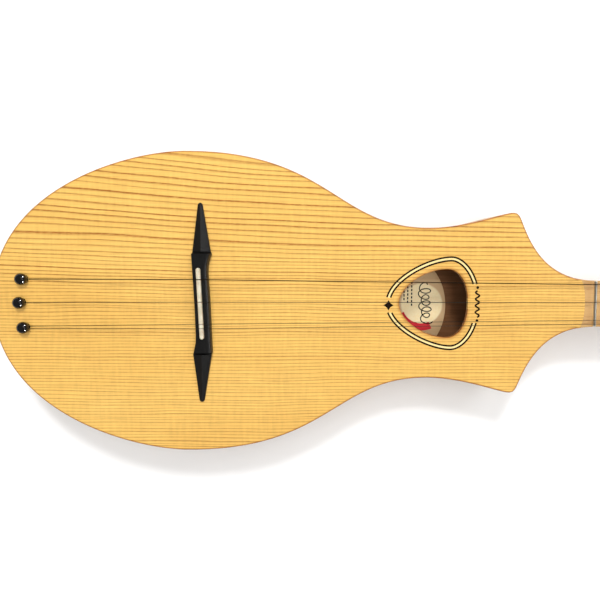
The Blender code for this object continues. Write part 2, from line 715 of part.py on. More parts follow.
def tuner_plate(name, frame):
    """Base plate with two ears that carry the worm, on the headstock's back."""
    corners = [(-16.0, -5.0), (-14.6, -6.8), (9.6, -6.8), (11.0, -5.0), (11.0, 5.0), (9.6, 6.8), (-14.6, 6.8), (-16.0, 5.0)]
    holes = [round_ring(0, 0, POST_RADIUS)] + [round_ring(du, 0, 1.4, 8) for du in SCREW_PLACES]
    base = place(plate(f"{name}_plate", [corners, *holes], PLATE_BOTTOM, PLATE_TOP), "nickel_plate", frame)
    bm = bmesh.new()
    for low, high in ((-EAR_OUTER, -EAR_INNER), (EAR_INNER, EAR_OUTER)):
        add_box(bm, (-CENTRE_DISTANCE - 2.8, low + 0.01, GEAR_MID - 3.0), (-CENTRE_DISTANCE + 2.8, high - 0.01, PLATE_TOP - 0.4))
    cut(base, place(object_of(f"{name}_ears", bm), frame=frame), "UNION")
    bore = bmesh.new()
    add_cylinder(bore, (0, 0), EAR_BORE, -20, 20, sides=12)
    axis = Matrix.Translation(Vector((-CENTRE_DISTANCE, 0, GEAR_MID)) * MM) @ Matrix.Rotation(-math.pi / 2, 4, "X")
    cut(base, place(object_of(f"{name}_bore", bore), frame=frame, matrix=axis))


def worm_frame(name, frame):
    """Empty on the worm's axis: its Z runs along the headstock's v, and its X faces the gear."""
    empty = bpy.data.objects.new(f"{name}_worm_axis", None)
    PLACES["parts"].objects.link(empty)
    empty.parent = frame
    empty.matrix_local = Matrix.Translation(Vector((-CENTRE_DISTANCE, 0, GEAR_MID)) * MM) @ Matrix.Rotation(-math.pi / 2, 4, "X")
    return empty


def worm_thread(name, frame):
    """A right-handed trapezoid thread, swept by a Screw and closed at both ends."""
    steps = 8
    root, tip = 0.50, 0.29
    inner = THREAD_ROOT - 0.25
    start = -THREAD_TURNS / 2 * WORM_PITCH
    profile = [(inner, start - root), (THREAD_TIP, start - tip), (THREAD_TIP, start + tip), (inner, start + root)]
    sweep = turned(f"{name}_sweep", profile, steps, closed=True)
    screw = sweep.modifiers["turn"]
    screw.screw_offset = WORM_PITCH * MM
    screw.iterations = THREAD_TURNS
    screw.use_merge_vertices = False
    bpy.context.scene.collection.objects.link(sweep)
    graph = bpy.context.evaluated_depsgraph_get()
    mesh = bpy.data.meshes.new_from_object(sweep.evaluated_get(graph))
    bpy.data.objects.remove(sweep)
    bm = bmesh.new()
    bm.from_mesh(mesh)
    bmesh.ops.remove_doubles(bm, verts=bm.verts, dist=1e-7)
    bmesh.ops.holes_fill(bm, edges=[e for e in bm.edges if e.is_boundary], sides=0)
    bmesh.ops.scale(bm, vec=Vector((1 / MM,) * 3), verts=bm.verts)
    return place(object_of(f"{name}_thread", bm), frame=frame)


def worm(name, side, frame):
    """Worm shaft: threaded middle between the ears, journals in them, and a stem for the button."""
    stem = BUTTON_START + BUTTON_LENGTH - 3.0
    shoulder = EAR_INNER - 0.25
    profile = [
        (0, stem),
        (SHAFT_RADIUS, stem),
        (SHAFT_RADIUS, shoulder),
        (THREAD_ROOT, shoulder),
        (THREAD_ROOT, -shoulder),
        (SHAFT_RADIUS, -shoulder),
        (SHAFT_RADIUS, -EAR_OUTER - 0.2),
        (0, -EAR_OUTER - 0.2),
    ]
    if side < 0:
        profile = [(r, -z) for r, z in reversed(profile)]
    shaft = place(turned(f"{name}_worm", profile, 8), "nickel_plate", frame)
    cut(shaft, worm_thread(name, frame), "UNION")


def button(name, side, frame):
    """Oval thumb button: a round neck that spreads into a flat paddle."""
    rows = [
        (0.0, 3.0, 3.0),
        (2.4, 2.8, 2.7),
        (6.0, 6.6, 3.2),
        (9.4, 6.8, 3.1),
        (11.2, 5.2, 2.6),
        (BUTTON_LENGTH, 3.2, 1.9),
    ]
    count = 12
    rings = []
    for dz, wide, thick in rows:
        angles = [2 * math.pi * i / count for i in range(count)]
        rings.append([(wide * math.cos(a), thick * math.sin(a), side * (BUTTON_START + dz)) for a in angles])
    paddle = place(loft(f"{name}_button", rings), "gloss_black", frame)
    bm = bmesh.new()
    low, high = sorted((side * (BUTTON_START - 2), side * (BUTTON_START + BUTTON_LENGTH - 2.7)))
    add_cylinder(bm, (0, 0), SHAFT_RADIUS + 0.12, low, high, sides=8)
    cut(paddle, place(object_of(f"{name}_button_bore", bm), frame=frame))


def gear(name, frame):
    """Straight-toothed wheel with a tooth space facing the worm."""
    step = 2 * math.pi / GEAR_TEETH
    ring = []
    for i in range(GEAR_TEETH):
        middle = math.pi + step * (i + 0.5)
        for offset, radius in ((-0.115, GEAR_ROOT), (-0.052, GEAR_TIP), (0.052, GEAR_TIP), (0.115, GEAR_ROOT)):
            ring.append((radius * math.cos(middle + offset), radius * math.sin(middle + offset)))
    wheel = plate(f"{name}_gear", [ring, round_ring(0, 0, GEAR_BORE)], GEAR_MID - GEAR_THICK / 2, GEAR_MID + GEAR_THICK / 2)
    place(wheel, "brass", frame)


def post(name, frame):
    """String post: waisted top, plain shank, shoulder on the gear and a threaded end for its screw."""
    gear_top = GEAR_MID + GEAR_THICK / 2
    gear_low = GEAR_MID - GEAR_THICK / 2
    profile = [
        (0, POST_TOP),
        (2.2, POST_TOP),
        (3.1, POST_TOP - 0.8),
        (3.1, POST_TOP - 2.2),
        (2.5, POST_STRING + 1.6),
        (2.5, POST_STRING - 1.6),
        (POST_RADIUS, POST_STRING - 4.0),
        (POST_RADIUS, -HEAD_THICK + 0.2),
        (2.5, -HEAD_THICK + 0.2),
        (2.5, gear_top + REST_GAP),
        (GEAR_BORE - 0.12, gear_top + REST_GAP),
        (GEAR_BORE - 0.12, gear_low + 0.2),
        (1.15, gear_low + 0.2),
        (1.15, gear_low + 4.0),
        (0, gear_low + 4.0),
    ]
    turned_post = place(turned(f"{name}_post", profile, 12), "nickel_plate", frame)
    bm = bmesh.new()
    add_cylinder(bm, (0, 0), 0.75, -6, 6, sides=6)
    across = Matrix.Translation(Vector((0, 0, POST_STRING)) * MM) @ Matrix.Rotation(math.pi / 2, 4, "Y")
    cut(turned_post, place(object_of(f"{name}_string_hole", bm), frame=frame, matrix=across))


def bushing(name, frame):
    profile = [
        (BUSHING_BORE, 1.3),
        (BUSHING_FLANGE - 0.5, 1.3),
        (BUSHING_FLANGE, REST_GAP),
        (BUSHING_BARREL, REST_GAP),
        (BUSHING_BARREL, -BUSHING_LENGTH),
        (BUSHING_BORE, -BUSHING_LENGTH),
    ]
    place(turned(f"{name}_bushing", profile, 12, closed=True), "nickel_plate", frame)


def screw_solid(name, head_radius, head_high, shank_radius, shank_length, matrix, frame):
    """A round-headed screw whose head is at negative Z and whose shank points to positive Z."""
    profile = [
        (0, shank_length),
        (shank_radius, shank_length - 0.8),
        (shank_radius, 0),
        (head_radius, 0),
        (head_radius, -head_high * 0.4),
        (head_radius * 0.6, -head_high),
        (0, -head_high),
    ]
    place(turned(name, profile, 8), "nickel_plate", frame, matrix)


def tuner(name, u, v, side, head):
    frame = bpy.data.objects.new(f"{name}_frame", None)
    PLACES["parts"].objects.link(frame)
    frame.parent = head
    frame.matrix_local = Matrix.Translation(Vector((u, v, 0)) * MM)
    tuner_plate(name, frame)
    axis = worm_frame(name, frame)
    worm(name, side, axis)
    button(name, side, axis)
    gear(name, frame)
    post(name, frame)
    bushing(name, frame)
    gear_low = GEAR_MID - GEAR_THICK / 2
    below = Matrix.Translation(Vector((0, 0, gear_low - REST_GAP)) * MM)
    screw_solid(f"{name}_gear_screw", 2.6, 1.5, 0.95, 3.6, below, frame)
    for label, du in zip("ab", SCREW_PLACES):
        spot = Matrix.Translation(Vector((du, 0, PLATE_BOTTOM - REST_GAP)) * MM)
        screw_solid(f"{name}_plate_screw_{label}", 2.1, 1.3, 1.05, 9.0, spot, frame)


def main():
    clear_scene()
    make_materials()
    PLACES["parts"] = make_collection("stick_dulcimer")
    PLACES["cutters"] = make_collection("cutters")
    PLACES["cutters"].hide_render = True
    head = bpy.data.objects.new("headstock_frame", None)
    PLACES["parts"].objects.link(head)
    head.matrix_local = head_matrix()
    body_and_neck(head)
    soundboard()
    brace("brace_lower", 92.0, 80.0)
    brace("brace_upper", 236.0, 50.0)
    bridge_plate()
    paper_label()
    bridge()
    saddle()
    nut()
    frets()
    pins()
    strings()
    for name, u, v, side in TUNERS:
        tuner(name, u, v, side, head)


PLACES = {}
main()
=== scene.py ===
"""Looks of the stick dulcimer: fine pieces on the CAD frame, wood, metal and composite finishes, light.

Sizes are in millimetres and MM turns them to metres. A station is a distance from the tail tip
along the neck. The headstock has its own frame: u from the nut to the tip, v to the bass side and
w out of its face. Each piece is a surface worked out on a grid of two parameters.
"""

import json
import math

import bpy
import numpy as np
from mathutils import Matrix, Vector

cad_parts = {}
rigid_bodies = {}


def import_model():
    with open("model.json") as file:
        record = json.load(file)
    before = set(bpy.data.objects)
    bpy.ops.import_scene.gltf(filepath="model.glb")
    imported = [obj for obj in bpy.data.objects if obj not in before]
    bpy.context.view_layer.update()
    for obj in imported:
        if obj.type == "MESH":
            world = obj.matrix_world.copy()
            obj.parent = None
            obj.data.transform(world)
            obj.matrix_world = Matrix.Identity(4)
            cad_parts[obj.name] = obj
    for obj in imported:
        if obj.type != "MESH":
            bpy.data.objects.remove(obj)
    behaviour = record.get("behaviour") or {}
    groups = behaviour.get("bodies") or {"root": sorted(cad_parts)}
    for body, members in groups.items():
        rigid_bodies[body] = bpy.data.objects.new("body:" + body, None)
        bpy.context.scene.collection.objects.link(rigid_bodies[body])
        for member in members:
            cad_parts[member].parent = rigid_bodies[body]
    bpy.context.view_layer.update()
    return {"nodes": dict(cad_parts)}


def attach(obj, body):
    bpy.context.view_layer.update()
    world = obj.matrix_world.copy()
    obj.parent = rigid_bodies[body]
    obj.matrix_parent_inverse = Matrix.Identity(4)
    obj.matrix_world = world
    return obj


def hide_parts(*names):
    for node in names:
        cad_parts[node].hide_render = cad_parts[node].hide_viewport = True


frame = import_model()

MM = 0.001
INSTRUMENT = "instrument"

# Sizes shared with the CAD model
LENGTH = 748.6
DEPTH = 48.0
SOUNDBOARD = 2.8
SADDLE_STATION, SCALE_LENGTH = 134.4, 502.4
NUT_STATION, NUT_WIDTH = 637.4, 5.0
NECK_START, NECK_HALF, NUT_HALF = 387.5, 14.75, 13.6
NECK_ANGLE, HEAD_ANGLE = math.radians(0.9), math.radians(10.9)
NECK_DEPTH, HEAD_THICK = 21.0, 13.0
TONGUE_SIDE, TONGUE_TIP = 376.1, 379.8
STRING_AT_SADDLE, STRING_AT_NUT = DEPTH + 9.0, 1.3
SADDLE_SLANT = math.radians(2.8)
OUTLINE = [
    [(0, 0), (0, 70.3), (85.5, 96.1), (125.3, 96.1)],
    [(125.3, 96.1), (216.4, 96.1), (219.9, 48.2), (279.3, 48.2)],
    [(279.3, 48.2), (297.8, 48.2), (316.2, 54.1), (328.4, 57.2)],
    [(328.4, 57.2), (336.3, 59.2), (336.2, 57.1), (339.9, 48.4)],
    [(339.9, 48.4), (348.8, 27.4), (362.5, NECK_HALF), (NECK_START, NECK_HALF)],
]
HOLE = [
    [(260.8, 0), (260.8, 10.5), (277.0, 21.85), (291.3, 21.85)],
    [(291.3, 21.85), (299.5, 21.85), (304.7, 12.5), (304.7, 0)],
]
HOLE_MIDDLE = (285.0, 0.0)
ROSETTE = [
    [(253.5, 0), (253.5, 15.3), (280.1, 28.5), (293.9, 28.5)],
    [(293.9, 28.5), (301.0, 28.5), (310.8, 18.3), (310.8, 0)],
]
HEAD_SIDE = [
    [(-4, 13.4), (8, 13.2), (12, 20.6), (25, 20.6)],
    [(25, 20.6), (50, 20.6), (80, 17.6), (100.0, 16.6)],
    [(100.0, 16.6), (104.4, 16.3), (106.3, 14.5), (106.9, 11.0)],
]
FRET_SEMITONES = {"1": 2, "2": 4, "3": 5, "4": 7, "5": 9, "6": 10, "6_half": 11, "7": 12}
PINS = {"bass": (20.8, 15.15), "middle": (19.0, 0.1), "treble": (21.2, -15.85)}
PIN_HOLE, PIN_SET_BACK = 2.9, 0.45
STRINGS = [
    ("bass", 0.28, "bass", 0.0, 15.3, 9.6, "tuner_1"),
    ("middle", 0.19, "middle", 0.0, 1.2, 0.8, "tuner_2"),
    ("treble_inner", 0.15, "treble", 0.8, -12.7, -7.9, "tuner_4"),
    ("treble_outer", 0.15, "treble", -0.8, -15.5, -10.0, "tuner_3"),
]
TUNERS = {
    "tuner_1": (38.0, 11.5, 1),
    "tuner_2": (82.0, 9.0, 1),
    "tuner_3": (38.0, -11.5, -1),
    "tuner_4": (82.0, -9.0, -1),
}
POST_STRING, POST_NECK = 8.0, 2.5
GEAR_TEETH, GEAR_PITCH = 15, 4.5
CENTRE_DISTANCE = GEAR_PITCH + 2.1
WORM_PITCH = 2 * math.pi * GEAR_PITCH / GEAR_TEETH
PLATE_TOP, PLATE_BOTTOM = -HEAD_THICK - 0.1, -HEAD_THICK - 1.3
GEAR_MID = PLATE_BOTTOM - 3.5
LABEL = (276.6, -5.0)
LABEL_HALF = (24.0, 33.0)
# Cream disc on the label, a painted pool of light with painted shade round it: its middle and radius
LIGHT_POOL = (283.7, -3.8, 14.7)


# Curves


def bezier_chain(segments, count):
    """Points along joined cubic Beziers, count to a segment, the last end kept."""
    t = (np.arange(count) / count)[:, None]
    runs = []
    for p0, p1, p2, p3 in np.array(segments, float):
        runs.append((1 - t) ** 3 * p0 + 3 * (1 - t) ** 2 * t * p1 + 3 * (1 - t) * t**2 * p2 + t**3 * p3)
    return np.vstack(runs + [np.array(segments[-1][-1:], float)])


def evenly(points, count, closed=False):
    """The same path with count points at equal distances along it."""
    run = np.vstack([points, points[:1]]) if closed else points
    length = np.concatenate([[0], np.cumsum(np.linalg.norm(np.diff(run, axis=0), axis=1))])
    at = np.linspace(0, length[-1], count, endpoint=not closed)
    return np.stack([np.interp(at, length, run[:, k]) for k in range(run.shape[1])], 1)


def mirrored(half):
    """A closed ring from its upper half, whose two ends lie on the axis."""
    return np.vstack([half, (half * [1, -1])[::-1][1:-1]])


def inward(ring):
    """Unit normals of a closed ring of points, pointing to its inside: its run turned a quarter."""
    run = np.roll(ring, -1, 0) - np.roll(ring, 1, 0)
    turned = np.stack([run[:, 1], -run[:, 0]], 1)
    turned /= np.maximum(np.linalg.norm(turned, axis=1), 1e-12)[:, None]
    x, y = ring.T
    area = np.sum(x * np.roll(y, -1) - np.roll(x, -1) * y)
    return turned * (-1 if area > 0 else 1)


HALF_OUTLINE = bezier_chain(OUTLINE, 60)


def half_width(s):
    return np.interp(s, HALF_OUTLINE[:, 0], HALF_OUTLINE[:, 1])


def to_x(s):
    """X in millimetres of a station."""
    return s - LENGTH / 2


def placed(ring):
    """A ring of (station, y) with X in place of its stations."""
    return ring - [LENGTH / 2, 0]


def neck_z(s):
    """Height of the playing face: level to the tongue, then falling by the neck's angle."""
    return DEPTH - math.tan(NECK_ANGLE) * np.maximum(s - TONGUE_TIP, 0)


def head_z(s):
    """Height of the headstock's face: a step below the nut, then falling by the headstock's angle."""
    start = NUT_STATION + NUT_WIDTH
    return neck_z(start) - 1.5 - math.tan(HEAD_ANGLE) * (s - start)


def body_ring(count=520):
    """The soundboard's ring: both sides up to the tongue, then the tongue's half ellipse."""
    half = HALF_OUTLINE[HALF_OUTLINE[:, 0] < TONGUE_SIDE]
    angle = np.linspace(0, math.pi / 2, 24)
    side = half_width(TONGUE_SIDE)
    arc = np.stack([TONGUE_SIDE + (TONGUE_TIP - TONGUE_SIDE) * np.sin(angle), side * np.cos(angle)], 1)
    return evenly(mirrored(np.vstack([half, arc])), count, closed=True)


def hole_ring(count=240):
    return evenly(mirrored(bezier_chain(HOLE, 60)), count, closed=True)


# Meshes


def add_piece(
    name, vertices, faces, material, body=INSTRUMENT, stands_for=(), slot=None, sharp=35, lining=None,
    lined=0
):
    """A piece in metres from points in millimetres, smooth up to an angle in degrees, on its body.
    A lining is a second material, for the first so many faces."""
    mesh = bpy.data.meshes.new(name)
    mesh.from_pydata((np.asarray(vertices, float) * MM).tolist(), [], faces)
    mesh.validate()
    mesh.update()
    mesh.shade_smooth()
    mesh.set_sharp_from_angle(angle=math.radians(sharp))
    mesh.materials.append(material)
    if lining:
        mesh.materials.append(lining)
        mesh.polygons.foreach_set(
            "material_index", (np.arange(len(mesh.polygons)) < lined).astype(np.int32)
        )
    piece = bpy.data.objects.new(name, mesh)
    bpy.context.scene.collection.objects.link(piece)
    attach(piece, body)
    if stands_for:
        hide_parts(*stands_for)
    return piece


def net(rows, around=True, close="caps"):
    """Faces of a grid of rows by columns, wrapped around the columns; the first and last rows are
    capped by one face each, joined to each other, or left open."""
    rows_n, cols = rows
    i, j = np.meshgrid(np.arange(rows_n - 1), np.arange(cols if around else cols - 1), indexing="ij")
    a = i * cols + j
    b = i * cols + (j + 1) % cols
    quads = np.stack([a, b, b + cols, a + cols], -1).reshape(-1, 4)
    faces = quads.tolist()
    if close == "caps":
        faces.append(list(range(cols))[::-1])
        faces.append(list(range((rows_n - 1) * cols, rows_n * cols)))
    if close == "joined":
        last = (rows_n - 1) * cols
        faces += [[last + k, last + (k + 1) % cols, (k + 1) % cols, k] for k in range(cols)]
    return faces


def join(*shells):
    """Several (vertices, faces) as one."""
    vertices, faces, start = [], [], 0
    for points, cells in shells:
        vertices.append(np.asarray(points, float).reshape(-1, 3))
        faces += [[k + start for k in cell] for cell in cells]
        start += len(vertices[-1])
    return np.vstack(vertices), faces


def outward(shell):
    """The shell with its faces turned round if its signed volume, summed over fans, is negative."""
    vertices, faces = shell
    total = 0.0
    for size in {len(cell) for cell in faces}:
        cells = np.array([cell for cell in faces if len(cell) == size])
        fan = vertices[cells]
        total += np.sum(np.cross(fan[:, 1:-1], fan[:, 2:]) * fan[:, :1])
    return (vertices, faces) if total > 0 else (vertices, [cell[::-1] for cell in faces])


def slab(ring, rows, middle=None):
    """A closed solid on a flat ring: each row is the ring moved in by an amount, at a height. The
    first and last rows are drawn in to a point if a middle is given, and capped flat if not."""
    inside = inward(ring)
    levels = [np.column_stack([ring + inside * inset, np.full(len(ring), z)]) for inset, z in rows]
    if middle is not None:
        for end, z in ((0, rows[0][1]), (-1, rows[-1][1])):
            centre = np.array([*middle, z])
            steps = [centre + (levels[end] - centre) * f for f in (0.5, 0.02)]
            levels = steps[::-1] + levels if end == 0 else levels + steps
    return outward((np.vstack(levels), net((len(levels), len(ring)))))


def lathe(profile, count=40):
    """A closed turned solid about Z from (radius, height) points, its first and last near the axis."""
    angle = np.linspace(0, 2 * math.pi, count, endpoint=False)
    r, z = np.array(profile, float).T
    r = np.maximum(r, 0.004)
    points = np.stack(
        [np.outer(r, np.cos(angle)), np.outer(r, np.sin(angle)), np.outer(z, np.ones(count))], -1
    )
    return outward((points.reshape(-1, 3), net((len(r), count))))


def washer(profile, count=40):
    """A closed turned ring about Z from a closed (radius, height) profile."""
    angle = np.linspace(0, 2 * math.pi, count, endpoint=False)
    r, z = np.array(profile, float).T
    points = np.stack(
        [np.outer(r, np.cos(angle)), np.outer(r, np.sin(angle)), np.outer(z, np.ones(count))], -1
    )
    return outward((points.reshape(-1, 3), net((len(r), count), close="joined")))


def sweep(path, section):
    """A closed section carried along a path: each ring stands across the path's direction, on an
    upright and a sideways axis, and the ends are capped."""
    path = np.asarray(path, float)
    along = np.gradient(path, axis=0)
    along /= np.linalg.norm(along, axis=1)[:, None]
    reference = np.array([0.0, 1.0, 0.0])
    up = np.cross(along, reference)
    up /= np.linalg.norm(up, axis=1)[:, None]
    side = np.cross(up, along)
    points = path[:, None] + side[:, None] * section[:, 0, None] + up[:, None] * section[:, 1, None]
    return outward((points.reshape(-1, 3), net((len(path), len(section)))))


def circle(radius, count=12):
    angle = np.linspace(0, 2 * math.pi, count, endpoint=False)
    return radius * np.stack([np.cos(angle), np.sin(angle)], 1)


def ribbon(path, width, low, high):
    """A thin flat strip on a path in X and Y: half its width to either side along the path's normal."""
    path = np.asarray(path, float)
    along = np.gradient(path, axis=0)
    along /= np.linalg.norm(along, axis=1)[:, None]
    normal = np.stack([-along[:, 1], along[:, 0]], 1) * width / 2
    corners = [(path + normal, low), (path + normal, high), (path - normal, high), (path - normal, low)]
    points = np.stack([np.column_stack([xy, np.full(len(path), z)]) for xy, z in corners], 1)
    return outward((points.reshape(-1, 3), net((len(path), 4))))


def moved(shell, matrix):
    """A shell taken through a 4x4 matrix in millimetres."""
    m = np.array(matrix)
    return shell[0] @ m[:3, :3].T + m[:3, 3], shell[1]


def shift(x=0.0, y=0.0, z=0.0):
    return Matrix.Translation((x, y, z))


def headstock_matrix():
    """Headstock frame in millimetres: origin behind the nut, turned about Y by its angle."""
    start = NUT_STATION + NUT_WIDTH
    return shift(to_x(start), 0, float(head_z(start))) @ Matrix.Rotation(HEAD_ANGLE, 4, "Y")


# Materials


def linear(colour):
    """An sRGB hex colour as linear red, green, blue and alpha."""
    parts = [int(colour[k : k + 2], 16) / 255 for k in (1, 3, 5)]
    return [c / 12.92 if c <= 0.04045 else ((c + 0.055) / 1.055) ** 2.4 for c in parts] + [1.0]


def add(tree, kind, *inputs, links=(), stops=(), **settings):
    """Adds a shader node. Inputs are sources or numbers in order, links are (input, source), and
    stops are a colour ramp's (place, sRGB hex). Settings go by property, by input name, or by i and
    the input's number. A node given as a source means its first output."""
    made = tree.nodes.new("ShaderNode" + kind)
    for key, value in settings.items():
        if hasattr(made, key):
            setattr(made, key, value)
        elif key[0] == "i" and key[1:].isdigit():
            made.inputs[int(key[1:])].default_value = value
        else:
            made.inputs[key.replace("_", " ")].default_value = value
    for place, source in [*enumerate(inputs), *links]:
        if isinstance(source, (int, float)):
            made.inputs[place].default_value = source
        else:
            tree.links.new(getattr(source, "outputs", [source])[0], made.inputs[place])
    elements = made.color_ramp.elements if stops else []
    while len(elements) < len(stops):
        elements.new(0.5)
    for element, (place, colour) in zip(elements, stops):
        element.position = place
        element.color = linear(colour)
    return made


def start_material(name, **settings):
    """A new material, its tree and its Principled shader with plain values set on its own sockets."""
    material = bpy.data.materials.new(name)
    material.use_nodes = True
    tree = material.node_tree
    shader = tree.nodes["Principled BSDF"]
    for key, value in settings.items():
        shader.inputs[key.replace("_", " ")].default_value = value
    return material, tree, shader


def spruce():
    """Quarter-sawn spruce under satin lacquer. Bands of early wood darken into narrow orange-brown
    late-wood lines that run along the board, 2 mm apart in the middle and 3.8 mm at the bass edge,
    where they also run out downhill. Short pores break the lines, faint silk crosses them, and the
    board is darkened on its rounded edges at the outline and the sound hole as painted shade."""
    material, tree, shader = start_material(
        "spruce_satin_lacquer", Roughness=0.42, Coat_Weight=0.15, Coat_Roughness=0.25
    )
    place = add(tree, "TexCoord").outputs["Object"]
    split = add(tree, "SeparateXYZ", place)
    # Slow wander of the lines, a few tenths of a millimetre over 100 mm
    stretched = add(tree, "Mapping", place, Scale=(7.0, 30.0, 30.0))
    wander = add(tree, "TexNoise", stretched, Scale=1.0, Detail=2.0)
    wandered = add(tree, "Math", wander, 0.006, split.outputs["Y"], operation="MULTIPLY_ADD")
    # Run-out: on the bass side the lines fall away along the board, most of all by the bridge
    tail = add(
        tree, "Math",
        add(
            tree, "Math", add(tree, "Math", split.outputs["X"], 0.263, operation="ADD"), 1 / 0.13,
            operation="MULTIPLY"
        ),
        operation="TANH"
    )
    falling = add(
        tree, "Math", add(tree, "Math", split.outputs["Y"], 0.0, operation="MAXIMUM"),
        add(tree, "Math", tail, 0.16, operation="MULTIPLY"), operation="MULTIPLY"
    )
    wandered = add(tree, "Math", wandered, falling, operation="ADD")
    # Ring count: one line every 2.05 mm, opening out to one every 3.8 mm past 47 mm on the bass side
    past = add(
        tree, "Math", add(tree, "Math", wandered, -0.012, operation="ADD"), 0.0, operation="MAXIMUM"
    )
    bend = add(tree, "Math", past, 0.035, operation="MINIMUM")
    rest = add(tree, "Math", add(tree, "Math", past, -0.035, operation="ADD"), 0.0, operation="MAXIMUM")
    wider = add(
        tree, "Math", add(tree, "Math", bend, bend, operation="MULTIPLY"), 3243.0,
        add(tree, "Math", rest, 227.0, operation="MULTIPLY"), operation="MULTIPLY_ADD"
    )
    rings = add(
        tree, "Math", add(tree, "Math", wandered, 490.0, operation="MULTIPLY"), wider,
        operation="SUBTRACT"
    )
    # Uneven years: the ring count is pushed by a noise of itself
    years = add(tree, "TexNoise", noise_dimensions="1D", links=[("W", rings)], Scale=0.43, Detail=1.0)
    pushed = add(tree, "Math", years, 0.9, rings, operation="MULTIPLY_ADD")
    year = add(tree, "Math", pushed, operation="FRACT")
    late = add(
        tree, "ValToRGB", year,
        stops=[
            (0.0, "#262626"), (0.35, "#101010"), (0.60, "#505050"), (0.80, "#dadada"), (0.88, "#ffffff"),
            (0.97, "#505050")
        ]
    )
    strength = add(
        tree, "TexNoise", noise_dimensions="1D",
        links=[("W", add(tree, "Math", pushed, operation="FLOOR"))], Scale=7.3
    )
    side = add(
        tree, "MapRange", split.outputs["Y"], From_Min=-0.03, From_Max=0.07, To_Min=0.62, To_Max=0.86
    )
    # Pores 4 mm long break up the lines
    pore_map = add(tree, "Mapping", place, Scale=(260.0, 1500.0, 1500.0))
    pores = add(tree, "TexNoise", pore_map, Scale=1.0, Detail=2.0)
    broken = add(tree, "Math", pores, 1.5, 0.25, operation="MULTIPLY_ADD")
    line = add(
        tree, "Math", add(tree, "Math", late, side, operation="MULTIPLY"),
        add(tree, "Math", strength, 1.5, 0.25, operation="MULTIPLY_ADD"), operation="MULTIPLY"
    )
    line = add(
        tree, "Math", add(tree, "Math", line, broken, operation="MULTIPLY"), 1.0, operation="MINIMUM"
    )
    early = add(
        tree, "ValToRGB", add(tree, "Math", wander, 0.5, 0.25, operation="MULTIPLY_ADD"),
        stops=[(0.0, "#eab95d"), (0.5, "#f1c266"), (1.0, "#f6cc75")]
    )
    base = add(tree, "Mix", data_type="RGBA", links=[(0, line), (6, early)], i7=linear("#9c5712"))
    # Fine fibres 0.5 mm wide along X, and silk flecks 2 mm wide across
    fibre_map = add(tree, "Mapping", place, Scale=(45.0, 1900.0, 1900.0))
    fibre = add(tree, "TexNoise", fibre_map, Scale=1.0, Detail=3.0)
    silk_map = add(tree, "Mapping", place, Scale=(460.0, 60.0, 60.0), Rotation=(0, 0, 0.12))
    silk = add(tree, "TexNoise", silk_map, Scale=1.0, Detail=3.0)
    tone = add(
        tree, "Math", add(tree, "Math", fibre, 0.5, 0.58, operation="MULTIPLY_ADD"),
        add(tree, "Math", silk, 0.24, operation="MULTIPLY"), operation="ADD"
    )
    shade = add(
        tree, "Mix", data_type="RGBA", blend_type="MULTIPLY", links=[(6, base.outputs[2]), (7, tone)],
        i0=1.0
    )
    blotch = add(tree, "TexNoise", place, Scale=14.0, Detail=2.0)
    warm = add(tree, "ValToRGB", blotch, stops=[(0.3, "#f6f2ea"), (0.7, "#ffffff")])
    board = add(
        tree, "Mix", data_type="RGBA", blend_type="MULTIPLY", links=[(6, shade.outputs[2]), (7, warm)],
        i0=1.0
    )
    # Painted shade: the board darkens towards #b98a5e on its rounded edges, by the edge attribute
    painted_edge_shade = add(tree, "Attribute", attribute_type="GEOMETRY", attribute_name="edge")
    final = add(
        tree, "Mix", data_type="RGBA", blend_type="MULTIPLY",
        links=[(0, painted_edge_shade.outputs["Fac"]), (6, board.outputs[2])], i7=linear("#b98a5e")
    )
    tree.links.new(final.outputs[2], shader.inputs["Base Color"])
    bump = add(
        tree, "Bump", links=[("Height", add(tree, "Math", fibre, late, operation="ADD"))], Strength=0.05,
        Distance=0.0002
    )
    tree.links.new(bump.outputs[0], shader.inputs["Normal"])
    return material


def maple():
    """Hard maple, sanded and sealed with satin lacquer. A pinkish beige ground with faint brown
    growth lines along the neck, short dark pore ticks, and a soft cross figure in the carved bowl."""
    material, tree, shader = start_material(
        "maple_satin_lacquer", Roughness=0.36, Coat_Weight=0.2, Coat_Roughness=0.25
    )
    place = add(tree, "TexCoord").outputs["Object"]
    slow = add(tree, "Mapping", place, Scale=(3.0, 60.0, 60.0))
    growth = add(tree, "TexNoise", slow, Scale=1.0, Detail=4.0, Roughness=0.6)
    ground = add(
        tree, "ValToRGB", growth, stops=[(0.30, "#b98d57"), (0.50, "#c9a066"), (0.70, "#d3ad75")]
    )
    pores_map = add(tree, "Mapping", place, Scale=(90.0, 1500.0, 1500.0))
    pores = add(tree, "TexNoise", pores_map, Scale=1.0, Detail=2.0)
    ticks = add(tree, "ValToRGB", pores, stops=[(0.32, "#b98a5c"), (0.42, "#ffffff")])
    marked = add(
        tree, "Mix", data_type="RGBA", blend_type="MULTIPLY", links=[(6, ground), (7, ticks)], i0=0.55
    )
    figure_map = add(tree, "Mapping", place, Scale=(150.0, 18.0, 18.0))
    figure = add(tree, "TexNoise", figure_map, Scale=1.0, Detail=2.0)
    curl = add(tree, "ValToRGB", figure, stops=[(0.35, "#e9ddcf"), (0.6, "#ffffff")])
    final = add(
        tree, "Mix", data_type="RGBA", blend_type="MULTIPLY", links=[(6, marked.outputs[2]), (7, curl)],
        i0=0.7
    )
    tree.links.new(final.outputs[2], shader.inputs["Base Color"])
    bump = add(tree, "Bump", links=[("Height", pores)], Strength=0.04, Distance=0.0002)
    tree.links.new(bump.outputs[0], shader.inputs["Normal"])
    return material


